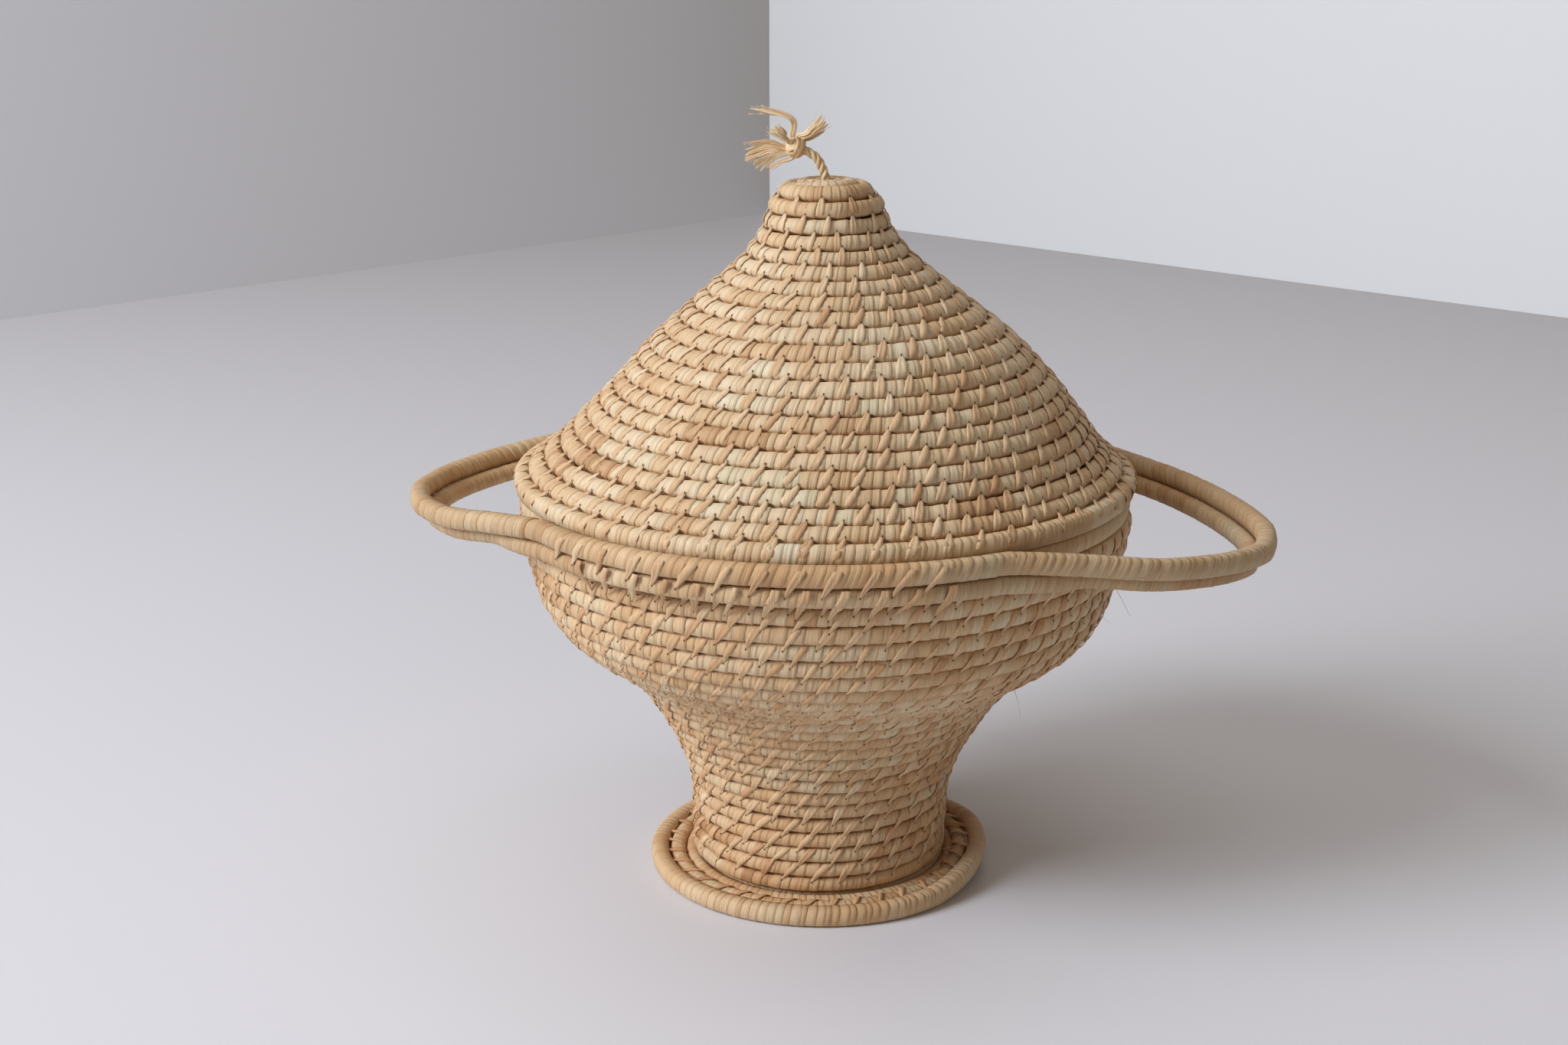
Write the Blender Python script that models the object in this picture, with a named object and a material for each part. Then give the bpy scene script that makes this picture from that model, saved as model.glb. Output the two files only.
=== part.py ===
"""A lidded basket in the shape of a tagine pot, sewn from one thick coil of wrapped grass.

A foot plate carries a hollow pedestal, the pedestal carries a bowl, and a bell-shaped lid rests on
the bowl's seat row. Two coils run round the outside of the bowl's mouth and leave it at each side as
a loop handle. A braid comes out of the lid's crown and ends in a knot and a tassel of loose strips.

Metres, +Z up. The origin is on the table under the middle of the basket, the handles lie along X,
and the front is at -Y.
"""

import math

import bmesh
import bpy
from mathutils import Matrix, Vector

# Clearance between two pieces that touch on the real basket.
GAP = 0.0003
# Clearance between two round coils, whose facets come a little nearer than their circles.
COIL_GAP = 0.0004

# Foot plate
PLATE_RADIUS = 0.084
PLATE_COIL = 0.0093
PLATE_THICKNESS = 0.0080

# Pedestal, from the plate up to the bowl's floor
PEDESTAL_HEIGHT = 0.0899
PEDESTAL_FOOT_RADIUS = 0.0633
PEDESTAL_WALL = 0.0080
PEDESTAL_TOP_LEAN = 1.3

# Bowl
FLOOR_RADIUS = 0.0915
FLOOR_THICKNESS = 0.0080
BOWL_RADIUS = 0.1470
BOWL_WALL_HEIGHT = 0.0872
BOWL_WALL = 0.0085
SEAT_COIL = 0.0092
SEAT_INSET = 0.0057

# Rim and handles: the rim coil, and a thinner one sewn under it
RIM_COIL = 0.0104
UNDER_COIL = 0.0084
RIM_DROP = 0.0065
JOIN_ANGLE = math.radians(60)
LEAVE_ANGLE = math.radians(47)
HANDLE_REACH = 0.0557
HANDLE_DROOP = 0.0140
UNDER_COIL_INWARD = 0.0066
# The share of a handle's reach over which its thinner coil moves inwards.
INWARD_SHARE = 0.3

# Lid
LID_OVERHANG = 0.0018
LID_COIL = 0.0098
LID_WALL = 0.0085
LID_WALL_RISE = 0.1268
LID_SLOPE = math.radians(45)
NECK_RADIUS = 0.0263
CROWN_RADIUS = 0.0223
CROWN_THICKNESS = 0.0081
CROWN_DOME = 0.0040
CROWN_CORNER = 0.0018

# Braid, knot and tassel
BRAID = 0.0052
BRAID_CLEARANCE = 0.0003
PIVOT_HEIGHT = 0.0015
KNOT = 0.0092
STOPPER_KNOT = 0.0120
STRIP_WIDTH = 0.0026
STRIP_THICKNESS = 0.0009
# The braid leans to the left as seen from 14 degrees right of the front.
LEAN_AZIMUTH = math.radians(14)

STRAW_ROUGHNESS = 0.75
SHARP_EDGE = math.radians(40)
# Points nearer than this are one point.
MERGE = 0.000005
# Facets round the basket's axis. The rim's points lie on the same azimuths as the rings' points.
AROUND = 48
TUBE_BEVEL_RESOLUTION = 2

# Outlines as (share of the height, share of the way from the least to the greatest radius)
PEDESTAL_OUTLINE = (
    (0.0, 0.0),
    (0.24, 0.0),
    (0.41, 0.03),
    (0.54, 0.155),
    (0.665, 0.312),
    (0.775, 0.505),
    (0.875, 0.706),
    (1.0, 1.0),
)
BOWL_OUTLINE = (
    (0.0, 0.0),
    (0.12, 0.188),
    (0.212, 0.406),
    (0.327, 0.636),
    (0.476, 0.797),
    (0.648, 0.888),
    (0.831, 0.957),
    (1.0, 1.0),
)
LID_OUTLINE = (
    (0.0, 1.0),
    (0.088, 0.888),
    (0.191, 0.793),
    (0.458, 0.536),
    (0.654, 0.287),
    (0.791, 0.118),
    (0.901, 0.033),
    (1.0, 0.0),
)
# A handle's loop past where it leaves the rim: (share of the way out along X, share of the spread in Y)
LOOP_OUTLINE = ((0.298, 0.849), (0.596, 0.687), (0.827, 0.452), (0.97, 0.2))

# The braid's bend above the crown, and each strip from the knot to its tip, in the plane of the
# lean: (to the right, up, away from the front), from the pivot.
BRAID_BEND = ((0, 0, 0), (-0.0014, 0.005, 0), (-0.0046, 0.0107, 0), (-0.0098, 0.0141, 0))
KNOT_CENTRE = (-0.0138, 0.0153, 0)
STRIPS = {
    "tassel_strip_long": ((-0.35, 0.85, 0.4), (-0.0165, 0.0285, 0.003), (-0.0350, 0.0334, 0.005)),
    "tassel_strip_top": ((0.20, 0.95, -0.25), (-0.0085, 0.0225, -0.003), (-0.0014, 0.0299, -0.003)),
    "tassel_strip_right": ((0.65, 0.62, 0.45), (-0.0065, 0.0205, 0.004), (0.0005, 0.0260, 0.006)),
    "tassel_strip_upper_back": ((-0.70, 0.6, -0.4), (-0.0195, 0.0215, -0.005), (-0.0237, 0.0263, -0.006)),
    "tassel_strip_upper_front": ((-0.78, 0.38, 0.5), (-0.0215, 0.0200, 0.005), (-0.0272, 0.0224, 0.007)),
    "tassel_strip_left": ((-1.0, 0.02, -0.05), (-0.0270, 0.0175, -0.001), (-0.0378, 0.0153, -0.001)),
    "tassel_strip_lower_front": ((-0.8, -0.4, 0.45), (-0.0265, 0.0135, 0.006), (-0.0375, 0.0090, 0.008)),
    "tassel_strip_lower_back": ((-0.75, -0.4, -0.52), (-0.0240, 0.0120, -0.006), (-0.0329, 0.0076, -0.009)),
    "tassel_strip_hanging": ((-0.42, -0.88, 0.2), (-0.0205, 0.0080, 0.002), (-0.0276, 0.0040, 0.003)),
}
STRIP_SECTIONS = 6
# The share of its width that a strip loses towards its tip.
STRIP_TAPER = 0.35

# Heights and radii that follow from the sizes above
FLOOR_BOTTOM = PLATE_THICKNESS + GAP + PEDESTAL_HEIGHT + GAP
FLOOR_TOP = FLOOR_BOTTOM + FLOOR_THICKNESS
PEDESTAL_BOTTOM = PLATE_THICKNESS + GAP
PEDESTAL_TOP = FLOOR_BOTTOM - GAP
PEDESTAL_TOP_RADIUS = FLOOR_RADIUS - GAP
BOWL_FOOT_RADIUS = FLOOR_RADIUS + GAP
BOWL_WALL_TOP = FLOOR_BOTTOM + BOWL_WALL_HEIGHT
SEAT_RADIUS = BOWL_RADIUS - SEAT_INSET
SEAT_Z = BOWL_WALL_TOP + GAP + SEAT_COIL / 2


def beside(reach, offset):
    """How far along one direction two circles lie apart, given the offset along the other."""
    return math.sqrt(max(reach * reach - offset * offset, 0.0))


LID_EDGE_RADIUS = SEAT_RADIUS + LID_OVERHANG
LID_EDGE_Z = SEAT_Z + beside((SEAT_COIL + LID_COIL) / 2 + COIL_GAP, LID_OVERHANG)
RIM_Z = LID_EDGE_Z - RIM_DROP
RIM_RADIUS = max(
    LID_EDGE_RADIUS + beside((LID_COIL + RIM_COIL) / 2 + COIL_GAP, RIM_DROP),
    SEAT_RADIUS + beside((SEAT_COIL + RIM_COIL) / 2 + COIL_GAP, RIM_Z - SEAT_Z),
)
COIL_REACH = (RIM_COIL + UNDER_COIL) / 2 + COIL_GAP
UNDER_RADIUS = BOWL_RADIUS + COIL_GAP + UNDER_COIL / 2
LID_WALL_START = LID_COIL / 2 + GAP
LID_WALL_TOP = LID_EDGE_Z + LID_WALL_RISE + LID_COIL / 2
CROWN_BOTTOM = LID_WALL_TOP + GAP
CROWN_TOP = CROWN_BOTTOM + CROWN_THICKNESS
HOLE_RADIUS = BRAID / 2 + BRAID_CLEARANCE
PIVOT = Vector((0, 0, CROWN_TOP + PIVOT_HEIGHT))


def clear_scene():
    for obj in list(bpy.data.objects):
        bpy.data.objects.remove(obj, do_unlink=True)


def srgb(code):
    """A colour written as six hex digits, in the linear values that a shader takes."""
    parts = [int(code[i : i + 2], 16) / 255 for i in (0, 2, 4)]
    linear = [p / 12.92 if p <= 0.04045 else ((p + 0.055) / 1.055) ** 2.4 for p in parts]
    return (*linear, 1.0)


def straw(name, code):
    material = bpy.data.materials.new(name)
    material.use_nodes = True
    shader = material.node_tree.nodes["Principled BSDF"]
    shader.inputs["Base Color"].default_value = srgb(code)
    shader.inputs["Roughness"].default_value = STRAW_ROUGHNESS
    shader.inputs["Metallic"].default_value = 0.0
    return material


def add(name, data, material, carrier=None):
    """The named object in the scene. A moving piece keeps its place under the empty that moves it."""
    obj = bpy.data.objects.new(name, data)
    bpy.context.scene.collection.objects.link(obj)
    data.materials.append(material)
    if carrier:
        obj.parent = carrier
        obj.location = -carrier.location
    return obj


def mesh_from(name, bm, material, carrier=None):
    bmesh.ops.remove_doubles(bm, verts=bm.verts, dist=MERGE)
    bmesh.ops.recalc_face_normals(bm, faces=bm.faces)
    mesh = bpy.data.meshes.new(name)
    bm.to_mesh(mesh)
    bm.free()
    mesh.shade_smooth()
    mesh.set_sharp_from_angle(angle=SHARP_EDGE)
    return add(name, mesh, material, carrier)


def turned(name, outline, material, carrier=None, steps=AROUND):
    """A solid turned round Z from a closed outline of (radius, height) points."""
    bm = bmesh.new()
    verts = [bm.verts.new((radius, 0, z)) for radius, z in outline]
    edges = [bm.edges.new((a, b)) for a, b in zip(verts, verts[1:] + verts[:1])]
    bmesh.ops.spin(
        bm,
        geom=verts + edges,
        axis=(0, 0, 1),
        cent=(0, 0, 0),
        angle=2 * math.pi,
        steps=steps,
    )
    # An outline's edge along the axis sweeps no face and is left loose.
    bmesh.ops.remove_doubles(bm, verts=bm.verts, dist=MERGE)
    loose = [edge for edge in bm.edges if not edge.link_faces]
    bmesh.ops.delete(bm, geom=loose, context="EDGES")
    return mesh_from(name, bm, material, carrier)


def smooth(points, per_span):
    """Points read from a Catmull-Rom curve through the given ones, in any number of dimensions."""
    points = [Vector(point) for point in points]
    padded = [2 * points[0] - points[1], *points, 2 * points[-1] - points[-2]]
    found = []
    for before, start, end, after in zip(padded, padded[1:], padded[2:], padded[3:]):
        for step in range(per_span):
            t = step / per_span
            found.append(
                (
                    2 * start
                    + (end - before) * t
                    + (2 * before - 5 * start + 4 * end - after) * t**2
                    + (3 * start - before - 3 * end + after) * t**3
                )
                / 2
            )
    return [*found, points[-1]]


def outer_line(shares, foot, height, least, greatest):
    """(radius, z) points up the outside of a wall from its outline's shares."""
    return [(least + (greatest - least) * across, foot + height * up) for up, across in shares]


def inner_line(outer, wall):
    """The same line set inwards by the wall's thickness."""
    found = []
    for i, (radius, z) in enumerate(outer):
        before, after = outer[max(i - 1, 0)], outer[min(i + 1, len(outer) - 1)]
        along = Vector((after[0] - before[0], after[1] - before[1])).normalized()
        found.append((radius - along.y * wall, z + along.x * wall))
    return found


def tube(name, points, thickness, material, closed=False, radii=None, carrier=None):
    """A round coil along the points."""
    curve = bpy.data.curves.new(name, "CURVE")
    curve.dimensions = "3D"
    curve.twist_mode = "Z_UP"
    curve.bevel_depth = thickness / 2
    curve.bevel_resolution = TUBE_BEVEL_RESOLUTION
    curve.use_fill_caps = not closed
    spline = curve.splines.new("POLY")
    spline.points.add(len(points) - 1)
    for i, point in enumerate(points):
        spline.points[i].co = (*point, 1.0)
        spline.points[i].radius = radii[i] if radii else 1.0
    spline.use_cyclic_u = closed
    spline.use_smooth = True
    return add(name, curve, material, carrier)


def ring(name, radius, z, thickness, material, carrier=None):
    turn = 2 * math.pi / AROUND
    points = [(radius * math.cos(i * turn), radius * math.sin(i * turn), z) for i in range(AROUND)]
    return tube(name, points, thickness, material, closed=True, carrier=carrier)


def make_foot_plate():
    material = straw("foot_plate_straw", "CFA673")
    coil_radius = PLATE_RADIUS - PLATE_COIL / 2
    disc_radius = coil_radius - PLATE_COIL / 2 - GAP
    outline = ((0, 0), (disc_radius, 0), (disc_radius, PLATE_THICKNESS), (0, PLATE_THICKNESS))
    turned("foot_plate", outline, material)
    edge = straw("foot_plate_edge_straw", "D2AB78")
    ring("foot_plate_edge_coil", coil_radius, PLATE_COIL / 2, PLATE_COIL, edge)


def make_pedestal():
    outer = outer_line(
        PEDESTAL_OUTLINE,
        PEDESTAL_BOTTOM,
        PEDESTAL_HEIGHT,
        PEDESTAL_FOOT_RADIUS,
        PEDESTAL_TOP_RADIUS,
    )
    inner = inner_line(outer, PEDESTAL_WALL)[1:-1:2]
    foot = (PEDESTAL_FOOT_RADIUS - PEDESTAL_WALL, PEDESTAL_BOTTOM)
    # The wall leans out at its top, so the flat ring there is wider than the wall is thick.
    top = (PEDESTAL_TOP_RADIUS - PEDESTAL_WALL * PEDESTAL_TOP_LEAN, PEDESTAL_TOP)
    outline = [*outer, top, *reversed(inner), foot]
    turned("pedestal_wall", outline, straw("pedestal_straw", "D8B584"))


def make_bowl():
    floor = (
        (0, FLOOR_BOTTOM),
        (FLOOR_RADIUS, FLOOR_BOTTOM),
        (FLOOR_RADIUS, FLOOR_TOP),
        (0, FLOOR_TOP),
    )
    turned("bowl_floor", floor, straw("bowl_floor_straw", "C99F6C"))
    outer = outer_line(
        BOWL_OUTLINE, FLOOR_BOTTOM, BOWL_WALL_HEIGHT, BOWL_FOOT_RADIUS, BOWL_RADIUS
    )
    inner = inner_line(outer, BOWL_WALL)
    foot = (BOWL_FOOT_RADIUS, FLOOR_TOP)
    top = (BOWL_RADIUS - BOWL_WALL, BOWL_WALL_TOP)
    outline = [*outer, top, *reversed(inner[1:-1]), foot]
    turned("bowl_wall", outline, straw("bowl_straw", "DBBA8A"))
    ring("bowl_seat_row", SEAT_RADIUS, SEAT_Z, SEAT_COIL, straw("seat_row_straw", "CDB183"))


def rim_arc(radius, z, middle):
    """Points of the rim's arc round an azimuth, on the rings' own azimuths."""
    turn = 2 * math.pi / AROUND
    steps = round((math.pi / 2 - JOIN_ANGLE) / turn)
    angles = [middle + i * turn for i in range(-steps, steps + 1)]
    return [Vector((radius * math.cos(a), radius * math.sin(a), z)) for a in angles]


def shortened(points):
    """The same points with a gap taken off each end, where two coils meet end to end."""
    first = points[0] + (points[1] - points[0]).normalized() * GAP
    last = points[-1] + (points[-2] - points[-1]).normalized() * GAP
    return [first, *points[1:-1], last]


def handle_loop(side):
    """The rim coil's centre line from where it leaves the front rim, round the loop, to the back rim."""
    turn = 2 * math.pi / AROUND
    on_rim = (JOIN_ANGLE + turn, JOIN_ANGLE, LEAVE_ANGLE)
    leg = [(RIM_RADIUS * math.cos(angle), RIM_RADIUS * math.sin(angle)) for angle in on_rim]
    leave_x, leave_y = leg[-1]
    tip_x = RIM_RADIUS + HANDLE_REACH
    leg += [(leave_x + (tip_x - leave_x) * along, leave_y * across) for along, across in LOOP_OUTLINE]
    plan = [(x, -y) for x, y in leg] + [(tip_x, 0)] + [(x, y) for x, y in reversed(leg)]
    per_span = 3
    curve = smooth([(x, y, 0) for x, y in plan], per_span)[per_span:-per_span]
    for point in curve:
        # Between its points on the rim the curve runs just inside the circle, so it is let out to it.
        reach = math.hypot(point.x, point.y)
        point *= max(RIM_RADIUS / reach, 1)
        point.z = RIM_Z - HANDLE_DROOP * max(reach - RIM_RADIUS, 0) / HANDLE_REACH
    # The curve's first and last points are where the arcs of the rim end.
    return [Vector((side * point.x, side * point.y, point.z)) for point in curve]


def under_loop(loop):
    """The thinner coil under a loop: straight under it at the rim, and set inwards along the handle."""
    at_rim = RIM_RADIUS - UNDER_RADIUS
    found = []
    for i, point in enumerate(loop):
        along = loop[min(i + 1, len(loop) - 1)] - loop[max(i - 1, 0)]
        inward = Vector((-along.y, along.x, 0)).normalized()
        out = max(math.hypot(point.x, point.y) - RIM_RADIUS, 0) / HANDLE_REACH
        share = min(out / INWARD_SHARE, 1)
        share = share * share * (3 - 2 * share)
        sideways = at_rim + (UNDER_COIL_INWARD - at_rim) * share
        found.append(point + inward * sideways - Vector((0, 0, beside(COIL_REACH, sideways))))
    return found


def make_rim_and_handles():
    material = straw("rim_straw", "DDB887")
    under = straw("under_rim_straw", "D1A876")
    under_z = RIM_Z - beside(COIL_REACH, UNDER_RADIUS - RIM_RADIUS)
    for name, middle in (("front", -math.pi / 2), ("back", math.pi / 2)):
        arc = rim_arc(RIM_RADIUS, RIM_Z, middle)
        tube(f"rim_coil_{name}", shortened(arc), RIM_COIL, material)
        arc = rim_arc(UNDER_RADIUS, under_z, middle)
        tube(f"under_rim_coil_{name}", shortened(arc), UNDER_COIL, under)
    for name, side in (("right", 1), ("left", -1)):
        loop = handle_loop(side)
        tube(f"handle_{name}_upper_coil", shortened(loop), RIM_COIL, material)
        tube(f"handle_{name}_lower_coil", shortened(under_loop(loop)), UNDER_COIL, under)


def make_lid(carrier):
    edge_material = straw("lid_edge_straw", "D9B887")
    ring("lid_edge_coil", LID_EDGE_RADIUS, LID_EDGE_Z, LID_COIL, edge_material, carrier)
    slope = Vector((-math.cos(LID_SLOPE), math.sin(LID_SLOPE)))
    normal = Vector((math.sin(LID_SLOPE), math.cos(LID_SLOPE)))
    start = Vector((LID_EDGE_RADIUS, LID_EDGE_Z)) + slope * LID_WALL_START
    outer_start = start + normal * LID_WALL / 2
    inner_start = start - normal * LID_WALL / 2
    rise = LID_WALL_TOP - outer_start.y
    outer = outer_line(LID_OUTLINE, outer_start.y, rise, NECK_RADIUS, outer_start.x)
    inner = inner_line(outer, LID_WALL)[1:-1]
    top = (NECK_RADIUS - LID_WALL, LID_WALL_TOP)
    outline = [*outer, top, *reversed(inner), tuple(inner_start)]
    turned("lid_wall", outline, straw("lid_straw", "DDBE90"), carrier)
    make_crown(carrier)


def make_crown(carrier):
    shoulder = CROWN_TOP - CROWN_DOME
    dome = [
        (CROWN_RADIUS * math.cos(angle), shoulder + CROWN_DOME * math.sin(angle))
        for angle in (0, math.radians(25), math.radians(50), math.radians(70))
    ]
    rounded = (CROWN_RADIUS - CROWN_CORNER, CROWN_BOTTOM)
    side = (CROWN_RADIUS, CROWN_BOTTOM + CROWN_CORNER)
    outline = ((HOLE_RADIUS, CROWN_BOTTOM), rounded, side, *dome, (HOLE_RADIUS, CROWN_TOP))
    turned("lid_crown", outline, straw("crown_straw", "D6B180"), carrier, steps=AROUND // 2)
    # The knot sits against the edge of the hole, so its top reaches a little way into it.
    stopper_z = CROWN_BOTTOM - beside(STOPPER_KNOT / 2 + GAP, HOLE_RADIUS)
    knot_material = straw("stopper_knot_straw", "C9A06B")
    knot("stopper_knot", Vector((0, 0, stopper_z)), STOPPER_KNOT, knot_material, carrier)
    low = stopper_z + STOPPER_KNOT / 2 + GAP
    high = PIVOT.z - BRAID / 2 - COIL_GAP
    braid_material = straw("braid_core_straw", "CDA470")
    tube("braid_in_crown", [(0, 0, low), (0, 0, high)], BRAID, braid_material, carrier=carrier)


def lean_point(point):
    """A place given in the plane of the lean, as a place in the basket's frame."""
    right = Vector((math.cos(LEAN_AZIMUTH), math.sin(LEAN_AZIMUTH), 0))
    away = Vector((-math.sin(LEAN_AZIMUTH), math.cos(LEAN_AZIMUTH), 0))
    return PIVOT + right * point[0] + Vector((0, 0, point[1])) + away * point[2]


def knot(name, centre, size, material, carrier):
    bm = bmesh.new()
    place = Matrix.Translation(centre)
    bmesh.ops.create_uvsphere(bm, u_segments=12, v_segments=8, radius=size / 2, matrix=place)
    return mesh_from(name, bm, material, carrier)


def strip(name, points, material, carrier):
    """A flat strip that narrows a little towards its tip."""
    bm = bmesh.new()
    path = smooth(points, STRIP_SECTIONS // 2)
    last = len(path) - 1
    # It lies flat at its tip, and from there it bends to its root without a twist.
    side = (path[last] - path[last - 1]).cross(Vector((0, 0, 1)))
    sections = []
    for i in reversed(range(len(path))):
        along = (path[min(i + 1, last)] - path[max(i - 1, 0)]).normalized()
        side = (side - along * side.dot(along)).normalized()
        across = side * STRIP_WIDTH / 2 * (1 - STRIP_TAPER * i / last)
        over = side.cross(along) * STRIP_THICKNESS / 2
        corners = (across + over, over - across, -across - over, across - over)
        sections.append([bm.verts.new(path[i] + corner) for corner in corners])
    for low, high in zip(sections, sections[1:]):
        for i in range(4):
            bm.faces.new((low[i], low[(i + 1) % 4], high[(i + 1) % 4], high[i]))
    bm.faces.new(sections[0])
    bm.faces.new(sections[-1])
    return mesh_from(name, bm, material, carrier)


def make_topknot(carrier):
    braid_material = straw("braid_straw", "D9AE77")
    strip_material = straw("tassel_straw", "E0BC80")
    centre = lean_point(KNOT_CENTRE)
    bend = smooth([lean_point(point) for point in BRAID_BEND], 3)
    last = centre + (bend[-1] - centre).normalized() * (KNOT / 2 + GAP)
    bend = [point for point in bend if (point - centre).length > KNOT / 2 + 0.001] + [last]
    # The lower end is a half ball round the pivot, so that it turns in place.
    ball = [(-1.0, 0.05), (-0.85, 0.53), (-0.5, 0.866)]
    start = [PIVOT + Vector((0, 0, along * BRAID / 2)) for along, _ in ball]
    radii = [share for _, share in ball] + [1.0] * len(bend)
    tube("topknot_braid", start + bend, BRAID, braid_material, radii=radii, carrier=carrier)
    knot("topknot_knot", centre, KNOT, braid_material, carrier)
    for name, (way, middle, tip) in STRIPS.items():
        out = lean_point(way) - PIVOT
        root = centre + out.normalized() * (KNOT / 2 + GAP + STRIP_THICKNESS / 2)
        strip(name, [root, lean_point(middle), lean_point(tip)], strip_material, carrier)


def joint_empty(name, place, parent=None):
    empty = bpy.data.objects.new(name, None)
    empty.location = place
    empty.empty_display_size = 0.02
    bpy.context.scene.collection.objects.link(empty)
    if parent:
        empty.parent = parent
    return empty


def main():
    clear_scene()
    make_foot_plate()
    make_pedestal()
    make_bowl()
    make_rim_and_handles()
    lid_lift = joint_empty("lid_lift", (0, 0, 0))
    make_lid(lid_lift)
    topknot_flop = joint_empty("topknot_flop", PIVOT, lid_lift)
    make_topknot(topknot_flop)
    print(f"topknot's pivot at {PIVOT.z:.6f}, top of the bowl's floor at {FLOOR_TOP:.6f}")


main()
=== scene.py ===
# %% [markdown]
# # A lidded basket, sewn from one long coil
#
# The basket is coiled basketry: a thick bundle of grass is wrapped in strips of palm leaf, and each
# turn of that bundle is sewn to the turn before it by a strip that reaches over the groove between
# them. Nothing on it is smooth, so almost everything seen here is one shape, a wrapped strip,
# repeated some thirteen thousand times along the coils.

import math
import random

import bmesh
import bpy
import numpy as np
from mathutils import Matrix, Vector


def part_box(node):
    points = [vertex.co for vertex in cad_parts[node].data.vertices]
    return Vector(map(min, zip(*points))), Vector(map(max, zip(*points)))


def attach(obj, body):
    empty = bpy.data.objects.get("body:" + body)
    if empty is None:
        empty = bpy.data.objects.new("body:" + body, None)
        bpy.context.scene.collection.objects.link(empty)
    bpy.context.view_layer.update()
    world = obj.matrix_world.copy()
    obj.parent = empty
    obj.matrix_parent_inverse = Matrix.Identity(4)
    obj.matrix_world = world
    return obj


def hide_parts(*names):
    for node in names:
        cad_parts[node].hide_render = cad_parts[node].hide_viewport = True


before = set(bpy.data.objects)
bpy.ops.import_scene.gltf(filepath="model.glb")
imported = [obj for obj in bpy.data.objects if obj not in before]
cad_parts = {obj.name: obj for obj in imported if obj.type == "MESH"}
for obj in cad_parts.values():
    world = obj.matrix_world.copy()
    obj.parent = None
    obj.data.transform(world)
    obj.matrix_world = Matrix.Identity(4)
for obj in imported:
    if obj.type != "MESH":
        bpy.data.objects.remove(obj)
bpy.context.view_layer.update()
scene = bpy.context.scene

# %% [markdown]
# ## The camera
#
# The view is from a little to the right of the front and looks down on the basket. A 50 mm lens at
# about a metre gives the same ellipses as the rows of the real one have. The camera stands a little
# to the left of the basket's axis, which puts the basket right of the middle of the frame.

# %% Place the camera
CAMERA_AZIMUTH = math.radians(14.0)
CAMERA_PITCH = math.radians(15.78)
CAMERA_DISTANCE = 1.014
CAMERA_HEIGHT = 0.461
CAMERA_ASIDE = 0.0195

camera_data = bpy.data.cameras.new("camera")
camera_data.lens = 50
camera_data.sensor_width = 36
camera = bpy.data.objects.new("camera", camera_data)
scene.collection.objects.link(camera)
camera.location = (
    CAMERA_DISTANCE * math.sin(CAMERA_AZIMUTH) - CAMERA_ASIDE * math.cos(CAMERA_AZIMUTH),
    -CAMERA_DISTANCE * math.cos(CAMERA_AZIMUTH) - CAMERA_ASIDE * math.sin(CAMERA_AZIMUTH),
    CAMERA_HEIGHT,
)
camera.rotation_euler = (math.radians(90) - CAMERA_PITCH, 0, CAMERA_AZIMUTH)
scene.camera = camera
print("the camera stands at", [round(value, 3) for value in camera.location])

# %% [markdown]
# ## Materials
#
# Everything is plant fibre: dry, matt, with a faint waxy sheen along the strip. Dried palm and grass
# never match from strip to strip, so each wrap carries its own random number, `tone`, and the colour
# is looked up from it. Fine streaks run along each strip, and they are read from its own UV map, in
# centimetres, so that they follow the strip round the coil.

# %% Helpers for node trees
def colour(code):
    """A colour written as six hex digits of sRGB, as linear values."""
    parts = [int(code[i : i + 2], 16) / 255 for i in (0, 2, 4)]
    return (*[p / 12.92 if p <= 0.04045 else ((p + 0.055) / 1.055) ** 2.4 for p in parts], 1.0)


def node(tree, kind, links=None, values=None, **settings):
    """Adds a node. links and values go to its inputs, by name or number, and settings to itself.

    A link comes from an output, or from a node, which means that node's first output.
    """
    made = tree.nodes.new(kind)
    for key, value in settings.items():
        setattr(made, key, value)
    for key, value in (values or {}).items():
        made.inputs[key].default_value = value
    for key, source in (links or {}).items():
        tree.links.new(getattr(source, "outputs", [source])[0], made.inputs[key])
    return made


def new_material(name, roughness, specular=0.5):
    """A material, its tree and its shader."""
    made = bpy.data.materials.new(name)
    made.use_nodes = True
    shader = made.node_tree.nodes["Principled BSDF"]
    shader.inputs["Roughness"].default_value = roughness
    shader.inputs["Specular IOR Level"].default_value = specular
    return made, made.node_tree, shader


def ramp_stops(ramp, stops, tint=(1.0, 1.0, 1.0)):
    """Sets a colour ramp's stops from (position, colour) pairs. The last argument is what red, green, blue
    keep.
    """
    elements = ramp.color_ramp.elements
    while len(elements) < len(stops):
        elements.new(1.0)
    for element, (position, code) in zip(elements, stops):
        element.position = position
        element.color = (*[c * keep for c, keep in zip(colour(code), tint)], 1.0)


print("mid grey is", round(colour("808080")[0], 3), "in linear light")

# %% [markdown]
# ### Wrapped leaf strip
#
# Raffia and palm strips, split by hand, dried and wound tight. The strip is pale straw with some
# tan, some orange and now and then a greenish or greyish one. The patches that run over several
# rows come from a bundle of leaf that was picked and dried together.

# %% Leaf strip material
# A fibre is some 0.4 mm wide, and fades over 14 mm.
FIBRES_PER_CM = 26
FIBRE_LENGTH_CM = 1.4
# How far two strips lie from each other in the noise, for one whole step of tone
TONE_SHIFT = (97.0, 0.0, 0.0)
# A bunch of leaf covers a patch of some 5 cm.
PATCHES_PER_METRE = 20.0
# Which part of the noise is used for patches and for fibres, and the darkest and lightest fibre
PATCH_NOISE = (0.3, 0.7)
FIBRE_NOISE = (0.30, 0.62)
FIBRE_SHADES = (0.78, 1.06)
RANGE_INPUTS = ("From Min", "From Max", "To Min", "To Max")
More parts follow.
